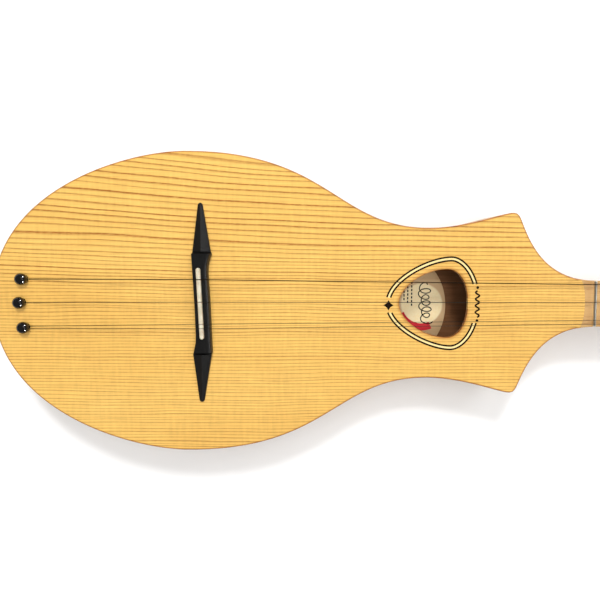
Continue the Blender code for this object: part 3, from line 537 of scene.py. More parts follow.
def inside_wood_painted_shade():
    """The hollowed inside of the bowl: unsealed wood with long pores, darkened as painted shade."""
    material, tree, shader = start_material("bare_wood_darkened", Roughness=0.8, Specular_IOR_Level=0.2)
    place = add(tree, "TexCoord").outputs["Object"]
    pores_map = add(tree, "Mapping", place, Scale=(60.0, 900.0, 900.0))
    pores = add(tree, "TexNoise", pores_map, Scale=1.0, Detail=3.0)
    # Painted shade: #6f4a2e to #7f573a, far darker than the maple outside, for the dim cavity
    ground = add(tree, "ValToRGB", pores, stops=[(0.3, "#6f4a2e"), (0.7, "#7f573a")])
    tree.links.new(ground.outputs[0], shader.inputs["Base Color"])
    bump = add(tree, "Bump", links=[("Height", pores)], Strength=0.1, Distance=0.0002)
    tree.links.new(bump.outputs[0], shader.inputs["Normal"])
    return material


def black_composite():
    """Moulded black composite, rubbed to a dull sheen: near-black grey with fine sanding haze."""
    material, tree, shader = start_material(
        "black_composite_rubbed", Roughness=0.42, Specular_IOR_Level=0.4
    )
    place = add(tree, "TexCoord").outputs["Object"]
    haze_map = add(tree, "Mapping", place, Scale=(1200.0, 160.0, 1200.0))
    haze = add(tree, "TexNoise", haze_map, Scale=1.0, Detail=3.0)
    tree.links.new(
        add(tree, "ValToRGB", haze, stops=[(0.3, "#0b0b0b"), (0.7, "#151413")]).outputs[0],
        shader.inputs["Base Color"]
    )
    rough = add(tree, "MapRange", haze, To_Min=0.36, To_Max=0.52)
    tree.links.new(rough.outputs[0], shader.inputs["Roughness"])
    bump = add(tree, "Bump", links=[("Height", haze)], Strength=0.05, Distance=0.0001)
    tree.links.new(bump.outputs[0], shader.inputs["Normal"])
    return material


def white_composite():
    """Compressed off-white composite, polished: ivory with a soft mottle, glossy at its edges."""
    material, tree, shader = start_material(
        "ivory_composite_polished", Roughness=0.28, Subsurface_Weight=0.1, Subsurface_Scale=0.002
    )
    place = add(tree, "TexCoord").outputs["Object"]
    mottle = add(tree, "TexNoise", place, Scale=260.0, Detail=3.0)
    tree.links.new(
        add(tree, "ValToRGB", mottle, stops=[(0.35, "#c4b99f"), (0.65, "#dcd3bb")]).outputs[0],
        shader.inputs["Base Color"]
    )
    return material


def gloss_black():
    """Polished black acetal: mirror-smooth, with a faint unevenness that bends the highlights."""
    material, tree, shader = start_material("black_acetal_polished", Roughness=0.07)
    place = add(tree, "TexCoord").outputs["Object"]
    ripple = add(tree, "TexNoise", place, Scale=180.0, Detail=1.0)
    tree.links.new(
        add(tree, "ValToRGB", ripple, stops=[(0.3, "#0b0a0b"), (0.7, "#131213")]).outputs[0],
        shader.inputs["Base Color"]
    )
    bump = add(tree, "Bump", links=[("Height", ripple)], Strength=0.03, Distance=0.0002)
    tree.links.new(bump.outputs[0], shader.inputs["Normal"])
    return material


def metal(name, dark, light, roughness, scratch_scale, strength):
    """A metal whose colour and polish vary along fine scratches: stretched noise drives both."""
    material, tree, shader = start_material(name, Metallic=1.0, Roughness=roughness)
    place = add(tree, "TexCoord").outputs["Object"]
    lay = add(tree, "Mapping", place, Scale=scratch_scale)
    scratch = add(tree, "TexNoise", lay, Scale=1.0, Detail=4.0)
    tree.links.new(
        add(tree, "ValToRGB", scratch, stops=[(0.3, dark), (0.7, light)]).outputs[0],
        shader.inputs["Base Color"]
    )
    rough = add(tree, "MapRange", scratch, To_Min=roughness * 0.75, To_Max=roughness * 1.4)
    tree.links.new(rough.outputs[0], shader.inputs["Roughness"])
    bump = add(tree, "Bump", links=[("Height", scratch)], Strength=strength, Distance=0.0001)
    tree.links.new(bump.outputs[0], shader.inputs["Normal"])
    return material


def wound_wire():
    """Steel wire wrapped in fine bronze-coloured winding. The wrap is 0.2 mm wire, drawn 0.6 mm
    apart so that its ridges show, and the troughs between its turns are darkened as painted shade."""
    material, tree, shader = start_material("wound_steel_string", Metallic=1.0, Roughness=0.35)
    place = add(tree, "TexCoord").outputs["Object"]
    split = add(tree, "SeparateXYZ", place)
    turn = add(
        tree, "Math", add(tree, "Math", split.outputs["X"], 2 * math.pi / 0.0006, operation="MULTIPLY"),
        operation="SINE"
    )
    # Painted shade: the colour darkens to #1c150f in the troughs between turns, in step with the bump
    tree.links.new(
        add(
            tree, "ValToRGB", add(tree, "Math", turn, 0.5, 0.5, operation="MULTIPLY_ADD"),
            stops=[(0.2, "#1c150f"), (0.8, "#4c4033")]
        ).outputs[0],
        shader.inputs["Base Color"]
    )
    bump = add(tree, "Bump", links=[("Height", turn)], Strength=0.4, Distance=0.0001)
    tree.links.new(bump.outputs[0], shader.inputs["Normal"])
    return material


def ink(name, dark, light, roughness):
    """A thin coloured inlay or print: an even ground with a fine mottle."""
    material, tree, shader = start_material(name, Roughness=roughness, Specular_IOR_Level=0.15)
    place = add(tree, "TexCoord").outputs["Object"]
    mottle = add(tree, "TexNoise", place, Scale=900.0, Detail=2.0)
    tree.links.new(
        add(tree, "ValToRGB", mottle, stops=[(0.3, dark), (0.7, light)]).outputs[0],
        shader.inputs["Base Color"]
    )
    return material


def label_paper():
    """Uncoated paper: a cream disc that is a painted pool of light, on a taupe ground that is painted
    shade, and a printed red arc round part of the disc. The fibres give it a soft, slightly uneven tone."""
    material, tree, shader = start_material("label_paper_printed", Roughness=0.85)
    place = add(tree, "TexCoord").outputs["Object"]
    centred = add(tree, "Mapping", place, Location=(-to_x(LIGHT_POOL[0]) * MM, -LIGHT_POOL[1] * MM, 0.0))
    split = add(tree, "SeparateXYZ", centred)
    flat = add(tree, "CombineXYZ", links=[("X", split.outputs["X"]), ("Y", split.outputs["Y"])])
    reach = add(tree, "VectorMath", operation="LENGTH", links=[(0, flat)]).outputs["Value"]
    angle = add(tree, "Math", split.outputs["Y"], split.outputs["X"], operation="ARCTAN2")
    fibres = add(tree, "TexNoise", place, Scale=700.0, Detail=4.0)
    cream = add(tree, "ValToRGB", fibres, stops=[(0.3, "#fbe3ae"), (0.7, "#fdeabf")])
    # Painted light and shade: cream inside the disc as a pool of light, taupe #d3b084 beyond it as shade
    painted_shade_share = add(tree, "MapRange", reach, From_Min=LIGHT_POOL[2] * MM - 0.0006, From_Max=LIGHT_POOL[2] * MM + 0.0006)
    ground = add(tree, "Mix", data_type="RGBA", links=[(0, painted_shade_share), (6, cream)], i7=linear("#d3b084"))
    band = add(tree, "Math", reach, (LIGHT_POOL[2] + 1.6) * MM, 0.0026, operation="COMPARE")
    part = add(tree, "Math", angle, -1.95, 0.78, operation="COMPARE")
    red = add(
        tree, "Mix", data_type="RGBA",
        links=[(0, add(tree, "Math", band, part, operation="MULTIPLY")), (6, ground.outputs[2])],
        i7=linear("#d2333c")
    )
    tree.links.new(red.outputs[2], shader.inputs["Base Color"])
    return material


def floor_paper():
    """Matt white background paper."""
    material, tree, shader = start_material("background_paper", Roughness=0.9, Specular_IOR_Level=0.1)
    place = add(tree, "TexCoord").outputs["Object"]
    tooth = add(tree, "TexNoise", place, Scale=60.0, Detail=2.0)
    tree.links.new(
        add(tree, "ValToRGB", tooth, stops=[(0.3, "#fbfbfb"), (0.7, "#fdfdfd")]).outputs[0],
        shader.inputs["Base Color"]
    )
    return material


# Body and neck


def smoothstep(low, high, value):
    t = np.clip((np.asarray(value, float) - low) / (high - low), 0, 1)
    return t * t * (3 - 2 * t)


BOWL_END = 366.0


def bowl(finish, lining):
    """The carved bowl. The outline ring goes down the wall, round the back edge on a quarter circle
    and in to a point of the back. Inside, the ring moved in by the wall is held between the two end
    blocks, and goes down to the floor; the floor and the inner wall take a darker brown, painted shade
    for the dim inside."""
    half = HALF_OUTLINE[HALF_OUTLINE[:, 0] < BOWL_END]
    ring = placed(
        evenly(mirrored(np.vstack([half, [[BOWL_END, half_width(BOWL_END)], [BOWL_END, 0]]])), 560, True)
    )
    inside = inward(ring)
    wall = ring + inside * 6.0
    wall[:, 0] = np.clip(wall[:, 0], to_x(38.0), to_x(322.0))
    # The wall of the upper end block is straight: its points are spread evenly across
    end = np.flatnonzero(wall[:, 0] > to_x(321.9))
    wall[end, 1] = np.linspace(wall[end[0], 1], wall[end[-1], 1], len(end))
    middle = np.array([to_x(200.0), 0.0])

    def level(points, z):
        return np.column_stack([points, np.full(len(points), z)])

    rim = DEPTH - SOUNDBOARD - 0.1
    levels = [level(middle + (wall - middle) * f, 5.0) for f in (0.02, 0.5, 0.96)]
    levels += [level(wall, z) for z in (6.5, 25.0, rim)]
    levels += [
        level(ring + inside * 0.2, rim), level(ring, rim - 0.2), level(ring, 30.0), level(ring, 15.0)
    ]
    angle = np.linspace(0, math.pi / 2, 8)
    levels += [level(ring + inside * 4 * (1 - math.cos(a)), 4 * (1 - math.sin(a))) for a in angle]
    levels += [level(middle + (ring - middle) * f, 0.0) for f in (0.5, 0.02)]
    shell = outward((np.vstack(levels), net((len(levels), len(ring)))))
    # The first five rows, the floor and the inner wall, take the darker lining, painted shade for the dim
    # inside
    piece = add_piece(
        "body_bowl", *shell, finish, stands_for=["body_and_neck"], slot="maple", lining=lining,
        lined=5 * len(ring)
    )
    cut(piece, *pin_drills())
    return piece


def pin_drills():
    """Round cutters for the pins' holes."""
    drill = lathe([(0, 22), (PIN_HOLE, 22), (PIN_HOLE, 52), (0, 52)], 40)
    return join(*(moved(drill, shift(to_x(s), y)) for s, y in PINS.values()))


def neck_and_headstock(finish):
    """Heel, neck and headstock as one run of closed rings. Each ring blends a box with rounded lower
    corners (heel and headstock) with a superellipse (neck) by a smooth weight along the neck."""
    start = NUT_STATION + NUT_WIDTH
    slope = math.cos(HEAD_ANGLE)
    side = bezier_chain(HEAD_SIDE, 14)
    side = side[side[:, 0] > -2.0]
    head_s, head_w = start + side[:, 0] * slope, side[:, 1]
    known = HALF_OUTLINE[HALF_OUTLINE[:, 0] > 350]
    width_s = np.concatenate([known[:, 0], [638.0], head_s])
    width_w = np.concatenate([known[:, 1], [NUT_HALF - 0.05], head_w])
    s = np.concatenate(
        [
            [
                352.0, 360.0, BOWL_END - 0.05, BOWL_END, 369.0, 372.0, 374.5, TONGUE_SIDE,
                TONGUE_SIDE + 0.01, 379.5
            ],
            np.linspace(383, 416, 16),
            np.linspace(425, 632, 24),
            [NUT_STATION - 0.01, NUT_STATION + 0.01, start - 0.01, start + 0.01],
            np.linspace(start + 1, head_s[-1] - 3, 46),
            head_s[-1] - np.array([2.0, 1.0, 0.4, 0.0]),
        ]
    )
    w = np.interp(s, width_s, width_w) - np.where(s < BOWL_END - 0.01, 0.3, 0.0)
    top = np.where(s <= TONGUE_SIDE, DEPTH - SOUNDBOARD - 0.1, neck_z(s))
    top = np.where((s > NUT_STATION) & (s < start), neck_z(NUT_STATION) - 2.0, top)
    top = np.where(s > start, head_z(s), top)
    heel = smoothstep(BOWL_END, 412, s)
    neck_low = neck_z(s) - NECK_DEPTH + 1.5 * smoothstep(432, NUT_STATION, s)
    low = neck_low * heel
    head_low = head_z(s) - HEAD_THICK / slope
    low = low + (head_low - low) * smoothstep(NUT_STATION, 674, s)
    low = low + np.where(s < BOWL_END - 0.01, 0.3, 0.0)
    round_d = heel * (1 - smoothstep(640, 668, s))
    corner = np.where(s > start, 1.2, 4.0)
    edge = np.where(s > start, 1.0, np.where(s > TONGUE_SIDE, 0.35, 0.05))
    w, top, low, round_d, corner, edge = (a[:, None] for a in (w, top, low, round_d, corner, edge))
    face = np.array([0.0, 0.5, 0.85, 1.0])
    turn = np.array([30.0, 60.0, 90.0]) * math.pi / 180
    q = np.linspace(0, 1, 25)[1:]
    shoulder = top - edge
    down = np.clip(q / 0.4, 0, 1)
    bend = np.clip((q - 0.4) / 0.3, 0, 1) * math.pi / 2
    across = np.clip((q - 0.7) / 0.3, 0, 1)
    box_y = (w - corner * (1 - np.cos(bend))) * (1 - across)
    box_z = shoulder + (low + corner - shoulder) * down - corner * np.sin(bend)
    power = 2 / 2.4
    d_y = w * np.cos(q * math.pi / 2).clip(0) ** power
    d_z = shoulder - (shoulder - low) * np.sin(q * math.pi / 2) ** power
    y = np.hstack([(w - edge) * face, w - edge + edge * np.sin(turn), box_y + (d_y - box_y) * round_d])
    z = np.hstack([top + 0 * w * face, top - edge * (1 - np.cos(turn)), box_z + (d_z - box_z) * round_d])
    y = np.hstack([y, -y[:, -2:0:-1]])
    z = np.hstack([z, z[:, -2:0:-1]])
    # The tongue's arc, and the headstock's bowed tip, as a bulge along X across each ring
    tongue = np.interp(
        s, [TONGUE_SIDE - 0.001, TONGUE_SIDE, TONGUE_SIDE + 0.01, 379.5, 383], [0, 3.7, 3.7, 1.5, 0]
    )
    tip = np.interp(s, [head_s[-1] - 3, head_s[-1]], [0.0, 1.15])
    share = np.clip(1 - (y / w) ** 2, 0, 1)
    x = s[:, None] + tongue[:, None] * np.sqrt(share) + tip[:, None] * share
    rings = np.stack([to_x(x), y, z], -1)
    last = rings[-1]
    heart = np.array([0.0, 0.0, last[:, 2].mean()])
    closing = []
    for f in (0.94, 0.5, 0.02):
        inner = heart + (last - heart) * f
        inner[:, 0] = to_x(head_s[-1]) + 1.15 * np.clip(1 - (inner[:, 1] / w[-1]) ** 2, 0, 1) + 0.03
        closing.append(inner)
    points = np.vstack([rings.reshape(-1, 3), *closing])
    shell = outward((points, net((len(s) + len(closing), rings.shape[1]))))
    piece = add_piece(
        "neck_and_headstock", *shell, finish, stands_for=["body_and_neck"], slot="maple", sharp=28
    )
    drill = [
        moved(lathe([(0, -40), (3.35, -40), (3.35, 10), (0, 10)], 48), headstock_matrix() @ shift(u, v))
        for u, v, _ in TUNERS.values()
    ]
    cut(piece, *join(*drill))
    return piece


def cut(piece, vertices, faces):
    """Takes a cutter's solid out of a piece with an exact Boolean, and keeps the result as its mesh."""
    mesh = bpy.data.meshes.new("cutter")
    mesh.from_pydata((vertices * MM).tolist(), [], faces)
    cutter = bpy.data.objects.new("cutter", mesh)
    bpy.context.scene.collection.objects.link(cutter)
    boolean = piece.modifiers.new("cut", "BOOLEAN")
    boolean.operation, boolean.solver, boolean.object = "DIFFERENCE", "EXACT", cutter
    graph = bpy.context.evaluated_depsgraph_get()
    result = bpy.data.meshes.new_from_object(piece.evaluated_get(graph))
    piece.modifiers.remove(boolean)
    bpy.data.objects.remove(cutter)
    piece.data = result
    result.shade_smooth()
    result.set_sharp_from_angle(angle=math.radians(30))


# Soundboard and its inlay


def polar_reach(ring, middle, angle):
    """Distance from a middle to a ring round it, at given angles, by interpolation round a turn."""
    away = ring - middle
    at = np.arctan2(away[:, 1], away[:, 0])
    order = np.argsort(at)
    return np.interp(angle, at[order], np.hypot(*away.T)[order], period=2 * math.pi)


def soundboard(finish):
    """The board as a ring of columns from the outline to the sound hole. Each column lies on a ray
    from the hole's middle, and goes over the rounded edges, across the face, down the hole's wall
    and back beneath."""
    ring = placed(body_ring())
    middle = np.array(placed(np.array([HOLE_MIDDLE])))[0]
    away = ring - middle
    angle = np.arctan2(away[:, 1], away[:, 0])
    ray = np.stack([np.cos(angle), np.sin(angle)], 1)
    reach = polar_reach(placed(hole_ring()), middle, angle)[:, None]
    inside = inward(ring)
    low = DEPTH - SOUNDBOARD
    levels = []

    def level(points, z):
        levels.append(np.column_stack([points, np.full(len(points), z)]))

    level(ring, low)
    # The edge is rounded to 0.8 mm, and left crisp where the tongue meets the neck
    tongue = ring[:, :1] > to_x(TONGUE_SIDE - 0.5)
    soft = np.where(tongue, 0.12, 0.8)
    for a in np.radians([0, 30, 60, 90]):
        level(ring + inside * soft * (1 - math.cos(a)), DEPTH - soft[:, 0] * (1 - math.sin(a)))
    outer = ring + inside * soft
    inner = middle + ray * (reach + 0.5)
    level(outer + inside * 0.5, DEPTH)
    for f in (0.1, 0.3, 0.5, 0.75):
        level(outer + (inner - outer) * f, DEPTH)
    level(middle + ray * (reach + 2.2), DEPTH)
    for a in np.radians([0, 30, 60, 90]):
        level(middle + ray * (reach + 0.5 * (1 - math.sin(a))), DEPTH - 0.5 + 0.5 * math.cos(a))
    level(middle + ray * reach, low)
    shell = outward((np.vstack(levels), net((len(levels), len(ring)), close="joined")))
    piece = add_piece("soundboard_spruce", *shell, finish, stands_for=["soundboard"], slot="spruce")
    # Painted shade along the edges: full down the outer edge and its rounding, fading onto the face, none
    # across the face, rising over the sound hole's rim and down its wall, and weak at the tongue
    edge_shade_weight = np.array([1, 1, 1, 0.9, 0.5, 0, 0, 0, 0, 0, 0, 0.55, 0.8, 1, 1, 1], float)
    piece.data.attributes.new("edge", "FLOAT", "POINT").data.foreach_set(
        "value", (edge_shade_weight[:, None] * np.where(tongue, 0.15, 1.0)[:, 0]).ravel()
    )
    cut(piece, *pin_drills())
    return piece


def rosette(line_finish, cream_finish):
    """Two thin dark lines round the sound hole with a cream line between them, each a strip along
    the rosette's curve moved sideways. They stop short of the ornaments at both ends."""
    middle = evenly(mirrored(bezier_chain(ROSETTE, 90)), 480, closed=True)
    for name, distance, width, top, finish in (
        ("outer", 1.15, 1.08, DEPTH + 0.03, line_finish),
        ("inner", -1.15, 1.08, DEPTH + 0.03, line_finish),
        ("cream", 0.0, 1.4, DEPTH + 0.02, cream_finish),
    ):
        ring = middle - inward(middle) * distance
        shells = []
        for sign in (1, -1):
            arc = ring[: len(ring) // 2 + 1] * [1, sign]
            gap = 3.6 if sign > 0 else 5.8
            keep = ((arc[:, 0] > 280) | (np.abs(arc[:, 1]) > gap)) & (
                (arc[:, 0] < 280) | (np.abs(arc[:, 1]) > 12.4)
            )
            path = evenly(arc[keep], 150)
            shells.append(ribbon(placed(path), width, DEPTH - 0.15, top))
        add_piece(f"rosette_{name}", *join(*shells), finish)


def ornaments(finish):
    """A plain lozenge at the hole's tail end, and at its neck end a fine wavy line between dots."""
    lozenge = np.array([[250.6, -1.2], [253.9, 2.1], [257.2, -1.2], [253.9, -4.5]])
    corners = [
        lozenge[k] + (lozenge[(k + 1) % 4] - lozenge[k]) * f
        for k in range(4) for f in (0, 0.25, 0.5, 0.75)
    ]
    star = np.array(corners)
    pull = np.tile([1.0, 0.86, 0.78, 0.86], 4)[:, None]
    star = star.mean(0) + (star - star.mean(0)) * pull
    shells = [slab(placed(star), [(0, DEPTH - 0.15), (0, DEPTH + 0.03)])]
    y = np.linspace(8.2, -8.8, 90)
    wave = np.stack([310.8 + 1.2 * np.sin((y - 8.2) * 2 * math.pi / 4.25), y], 1)
    shells.append(ribbon(placed(wave), 1.1, DEPTH - 0.15, DEPTH + 0.03))
    for at in (10.3, -10.9):
        shells.append(
            slab(
                circle(0.9, 20) + placed(np.array([[310.8, at]])), [(0, DEPTH - 0.15), (0, DEPTH + 0.03)]
            )
        )
    add_piece("rosette_ornaments", *join(*shells), finish)


# Bridge, saddle, nut and frets


def height_bar(left, right, along, top, base):
    """A closed bar lying along Y: at each place along it, a row of points across from its left to
    its right edge at the heights given, down the two sides to the base, and capped at the ends."""
    share = np.linspace(0, 1, top.shape[1])
    x = left[:, None] + (right - left)[:, None] * share
    y = np.repeat(along[:, None], top.shape[1], 1)
    grid = np.stack([x, y, top], -1)
    feet = [np.stack([edge, along, base], -1)[:, None] for edge in (left, right)]
    rings = np.concatenate([feet[0], grid, feet[1]], 1)
    return outward((rings.reshape(-1, 3), net((len(along), rings.shape[1]))))


def bridge(finish):
    """Bridge in one sculpted bar. In the middle it is a block with a crisp left edge and a rolled
    right edge; past a groove at each end a wing follows, with a hollowed roof that falls to a
    rounded tip."""
    y = np.concatenate(
        [
            -64.0 + 1.6 * (1 - np.cos(np.linspace(0, math.pi / 2, 8))),
            np.linspace(-61.5, -33.2, 30),
            np.linspace(-32.9, -31.0, 12),
            np.linspace(-30, 30, 70),
            np.linspace(30.6, 32.4, 12),
            np.linspace(32.8, 61.2, 30),
            63.6 - 1.6 * (1 - np.cos(np.linspace(math.pi / 2, 0, 8))),
        ]
    )
    left = np.interp(
        y, [-64.0, -32.9, -32.0, -31.9, -28.5, -25, -20, 0, 31.5, 32.6, 63.6],
        [132.8, 129.0, 129.1, 129.7, 130.4, 131.2, 131.3, 130.6, 128.8, 129.1, 132.8]
    )
    right = np.interp(
        y, [-64.0, -32.9, -32.0, -31.9, 0, 15, 19, 24, 27.5, 31.5, 32.6, 63.6],
        [135.6, 140.7, 140.8, 141.3, 140.1, 139.2, 138.9, 139.1, 139.8, 141.2, 140.6, 135.4]
    )
    end = np.minimum(np.abs(y + 64.0), np.abs(y - 63.6))
    pinch = np.sqrt(np.clip(1 - (1 - np.clip(end / 1.6, 0, 1)) ** 2, 0.002, 1))
    centre = (left + right) / 2
    left, right = centre + (left - centre) * pinch, centre + (right - centre) * pinch
    c = np.linspace(0, 1, 33)[None]
    out = np.clip((np.abs(y) - 32.0) / 31.5, 0, 1)[:, None]
    peak = 1 - np.abs(2 * c - 1)
    soft = np.sqrt(peak**2 + 0.004) - math.sqrt(0.004)
    wing = (2.6 - 1.4 * out) + (3.0 - 2.1 * out) * soft**1.12
    reach = (right - left)[:, None] * c
    back = (right - left)[:, None] * (1 - c)
    block = 6.6 - 0.7 * (1 - np.sqrt(np.clip(1 - (1 - np.clip(reach / 0.7, 0, 1)) ** 2, 0, 1)))
    block = block - 3.0 * (1 - np.sqrt(np.clip(1 - (1 - np.clip(back / 2.6, 0, 1)) ** 2, 0, 1)))
    middle = smoothstep(32.2, 31.6, np.abs(y))[:, None]
    groove = smoothstep(0.75, 0.35, np.abs(np.abs(y) - 32.1))[:, None]
    top = wing + (block - wing) * middle
    top = top + (np.minimum(top, 2.4) - top) * groove
    top = 0.3 + (top - 0.3) * np.sqrt(pinch)[:, None]
    base = np.full(len(y), DEPTH + 0.02)
    shell = height_bar(to_x(left), to_x(right), y, base[:, None] + top, base)
    add_piece("bridge_sculpted", *shell, finish, stands_for=["bridge"], slot="black_composite", sharp=40)


def saddle(finish):
    """A bar with round ends in plan whose top is crowned on a half circle, slanted in the bridge."""
    angle = np.linspace(0, math.pi, 24)
    cap = np.stack([1.4 * np.cos(angle), 21.2 + 1.4 * np.sin(angle)], 1)
    ring = evenly(np.vstack([cap, -cap]), 140, True)
    top = STRING_AT_SADDLE
    rows = [
        (0, DEPTH + 4.0), (0, top - 1.0), (0.22, top - 0.45), (0.62, top - 0.12), (1.1, top), (1.4, top)
    ]
    shell = slab(ring, rows)
    place = shift(to_x(SADDLE_STATION)) @ Matrix.Rotation(SADDLE_SLANT, 4, "Z")
    add_piece(
        "saddle_crowned", *moved(shell, place), finish, stands_for=["saddle"], slot="white_composite",
        sharp=50
    )


def nut(finish):
    """A low bar across the neck, rounded at the front and falling to the back, with a shallow round
    groove under each string."""
    y = np.linspace(-NUT_HALF + 0.02, NUT_HALF - 0.02, 160)
    c = np.linspace(0, 1, 21)[None]
    front = neck_z(NUT_STATION) + 1.25
    crown = front + 0.35 * np.sin(
        np.clip(c * 4, 0, 1) * math.pi / 2
    ) - 1.15 * np.clip(c - 0.25, 0, 1) ** 1.3
    top = np.repeat(crown, len(y), 0)
    for _, radius, _, _, _, at, _ in STRINGS:
        top = top - 0.42 * np.clip(1 - ((y[:, None] - at) / (radius + 0.35)) ** 2, 0, 1) ** 0.5
    edge = np.minimum(np.abs(y - y[0]), np.abs(y - y[-1]))
    top = top - 0.5 * (1 - np.sqrt(np.clip(1 - (1 - np.clip(edge / 0.8, 0, 1)) ** 2, 0, 1)))[:, None]
    base = np.full(len(y), float(neck_z(NUT_STATION)) - 1.95)
    ones = np.ones(len(y))
    shell = height_bar(
        to_x(NUT_STATION + 0.05) * ones, to_x(NUT_STATION + NUT_WIDTH - 0.1) * ones, y, top, base
    )
    add_piece("nut_grooved", *shell, finish, stands_for=["nut"], slot="white_composite", sharp=40)


def frets(finish):
    """Fret wires: a half-ellipse crown along Y whose ends are bevelled back."""
    angle = np.linspace(0, math.pi, 17)
    for name, semitones in FRET_SEMITONES.items():
        s = NUT_STATION - SCALE_LENGTH * (1 - 2 ** (-semitones / 12))
        half = float(np.interp(s, [NECK_START, NUT_STATION], [NECK_HALF, NUT_HALF])) - 0.15
        y = half * np.array([-1, -0.995, -0.985, -0.97, -0.95, -0.5, 0, 0.5, 0.95, 0.97, 0.985, 0.995, 1])
        bevel = np.sqrt(np.clip(1 - (1 - np.clip((half - np.abs(y)) / 0.75, 0, 1)) ** 2, 0.02, 1))
        x = to_x(s) - np.cos(angle)[None] * (0.75 + 0.25 * bevel)[:, None]
        z = np.sin(angle)[None] * 1.1 * bevel[:, None] + neck_z(s) + 0.04
        rings = np.stack([x, np.repeat(y[:, None], len(angle), 1), z], -1)
        shell = outward((rings.reshape(-1, 3), net((len(y), len(angle)))))
        add_piece(
            f"fret_wire_{name}", *shell, finish, stands_for=[f"fret_{name}"], slot="nickel_silver",
            sharp=50
        )


# Pins, strings and label


def pins(finish):
    """Ball-headed pins: a ball that runs by a cove into a collar, and a tapered shank below."""
    angle = np.radians(np.linspace(0, 148, 26))
    ball = [(3.8 * math.sin(a), 3.2 + 3.8 * math.cos(a)) for a in angle]
    foot = [(1.75, 0.15), (1.7, -0.1), (2.05, -0.5), (1.8, -22.0), (0.0, -22.4)]
    for name, (s, y) in PINS.items():
        shell = moved(lathe(ball + foot, 56), shift(to_x(s) - PIN_SET_BACK, y, DEPTH))
        add_piece(
            f"string_pin_{name}", *shell, finish, stands_for=[f"pin_{name}"], slot="gloss_black",
            sharp=60
        )


def rounded_path(corners, reach):
    """A run of corners, each rounded by a quadratic Bezier that starts and ends a reach away."""
    runs = [np.array([corners[0]], float)]
    for before, at, after in zip(corners, corners[1:], corners[2:]):
        before, at, after = (np.array(p, float) for p in (before, at, after))
        cut_in = at + (before - at) * min(reach / np.linalg.norm(before - at), 0.45)
        cut_out = at + (after - at) * min(reach / np.linalg.norm(after - at), 0.45)
        t = np.linspace(0, 1, 9)[:, None]
        runs.append((1 - t) ** 2 * cut_in + 2 * (1 - t) * t * at + t**2 * cut_out)
    return np.vstack(runs + [np.array([corners[-1]], float)])


def strings(plain, wound):
    """Each string is a round wire from its pin, over the saddle and the nut, to the side of its post,
    where its turns lie as three closed rings, alike at every angle of the post that they ride on."""
    head = headstock_matrix()
    for name, radius, pin, pin_shift, saddle_y, nut_y, tuner in STRINGS:
        s, y = PINS[pin]
        y += pin_shift
        exit_x = to_x(s) + PIN_HOLE - radius - 0.45
        u, v, side = TUNERS[tuner]
        at_post = head @ Vector((u, v - side * (POST_NECK + radius), POST_STRING))
        nut_z = float(neck_z(NUT_STATION)) + STRING_AT_NUT + radius + 0.03
        corners = [
            (exit_x, y, 36.0),
            (exit_x, y, DEPTH + 0.2),
            (exit_x + 1.2, y, DEPTH + 0.75),
            (
                to_x(SADDLE_STATION) - math.tan(SADDLE_SLANT) * saddle_y, saddle_y,
                STRING_AT_SADDLE + radius
            ),
            (to_x(NUT_STATION) + 1.2, nut_y, nut_z),
            (to_x(NUT_STATION) + NUT_WIDTH - 0.5, nut_y, nut_z - 0.6),
            tuple(at_post),
        ]
        shell = sweep(rounded_path(corners, 0.8), circle(radius, 14))
        finish = wound if name == "bass" else plain
        add_piece(
            f"wire_{name}", *shell, finish, stands_for=[f"string_{name}"], slot="steel_wire", sharp=60
        )
        turn = circle(radius * 0.98, 10) + [POST_NECK + radius, POST_STRING]
        drop = [0, 2 * radius + 0.03]
        coil = moved(join(*(washer(turn - np.multiply(drop, k), 48) for k in range(3))), head @ shift(u, v))
        add_piece(
            f"{tuner}_winding", *coil, finish, body=f"{tuner}_post_body", slot="steel_wire", sharp=60
        )


def label(paper, print_ink):
    """The oval label on the floor, and on it a looping flourish: a circle carried along a line, so
    that it draws a row of open loops, beside three rows of short ruled strokes."""
    ring = circle(1.0, 120) * LABEL_HALF + [to_x(LABEL[0]), LABEL[1]]
    add_piece(
        "label_printed", *slab(ring, [(0.0, 5.12), (0.0, 5.3), (0.08, 5.34)]), paper,
        stands_for=["paper_label"], slot="paper"
    )
    t = np.linspace(0, 6 * 2 * math.pi, 420)
    swell = 0.55 + 0.45 * np.sin(t / t[-1] * math.pi * 2.5) ** 2
    x = 285.2 + 4.6 * swell * np.cos(t) + 2.0 * t / t[-1]
    y = 10.0 - 26.0 * t / t[-1] + 2.6 * np.sin(t)
    shells = [ribbon(placed(np.stack([x, y], 1)), 0.75, 5.2, 5.38)]
    for column, (low, high) in ((273.8, (-3.0, 9.0)), (276.6, (-5.0, 11.0)), (271.2, (-1.0, 7.0))):
        for start in np.arange(low, high, 2.6):
            path = np.stack([np.full(4, column), np.linspace(start, start + 1.7, 4)], 1)
            shells.append(ribbon(placed(path), 0.9, 5.2, 5.37))
    add_piece("label_flourish", *join(*shells), print_ink, slot="paper")


# Tuners


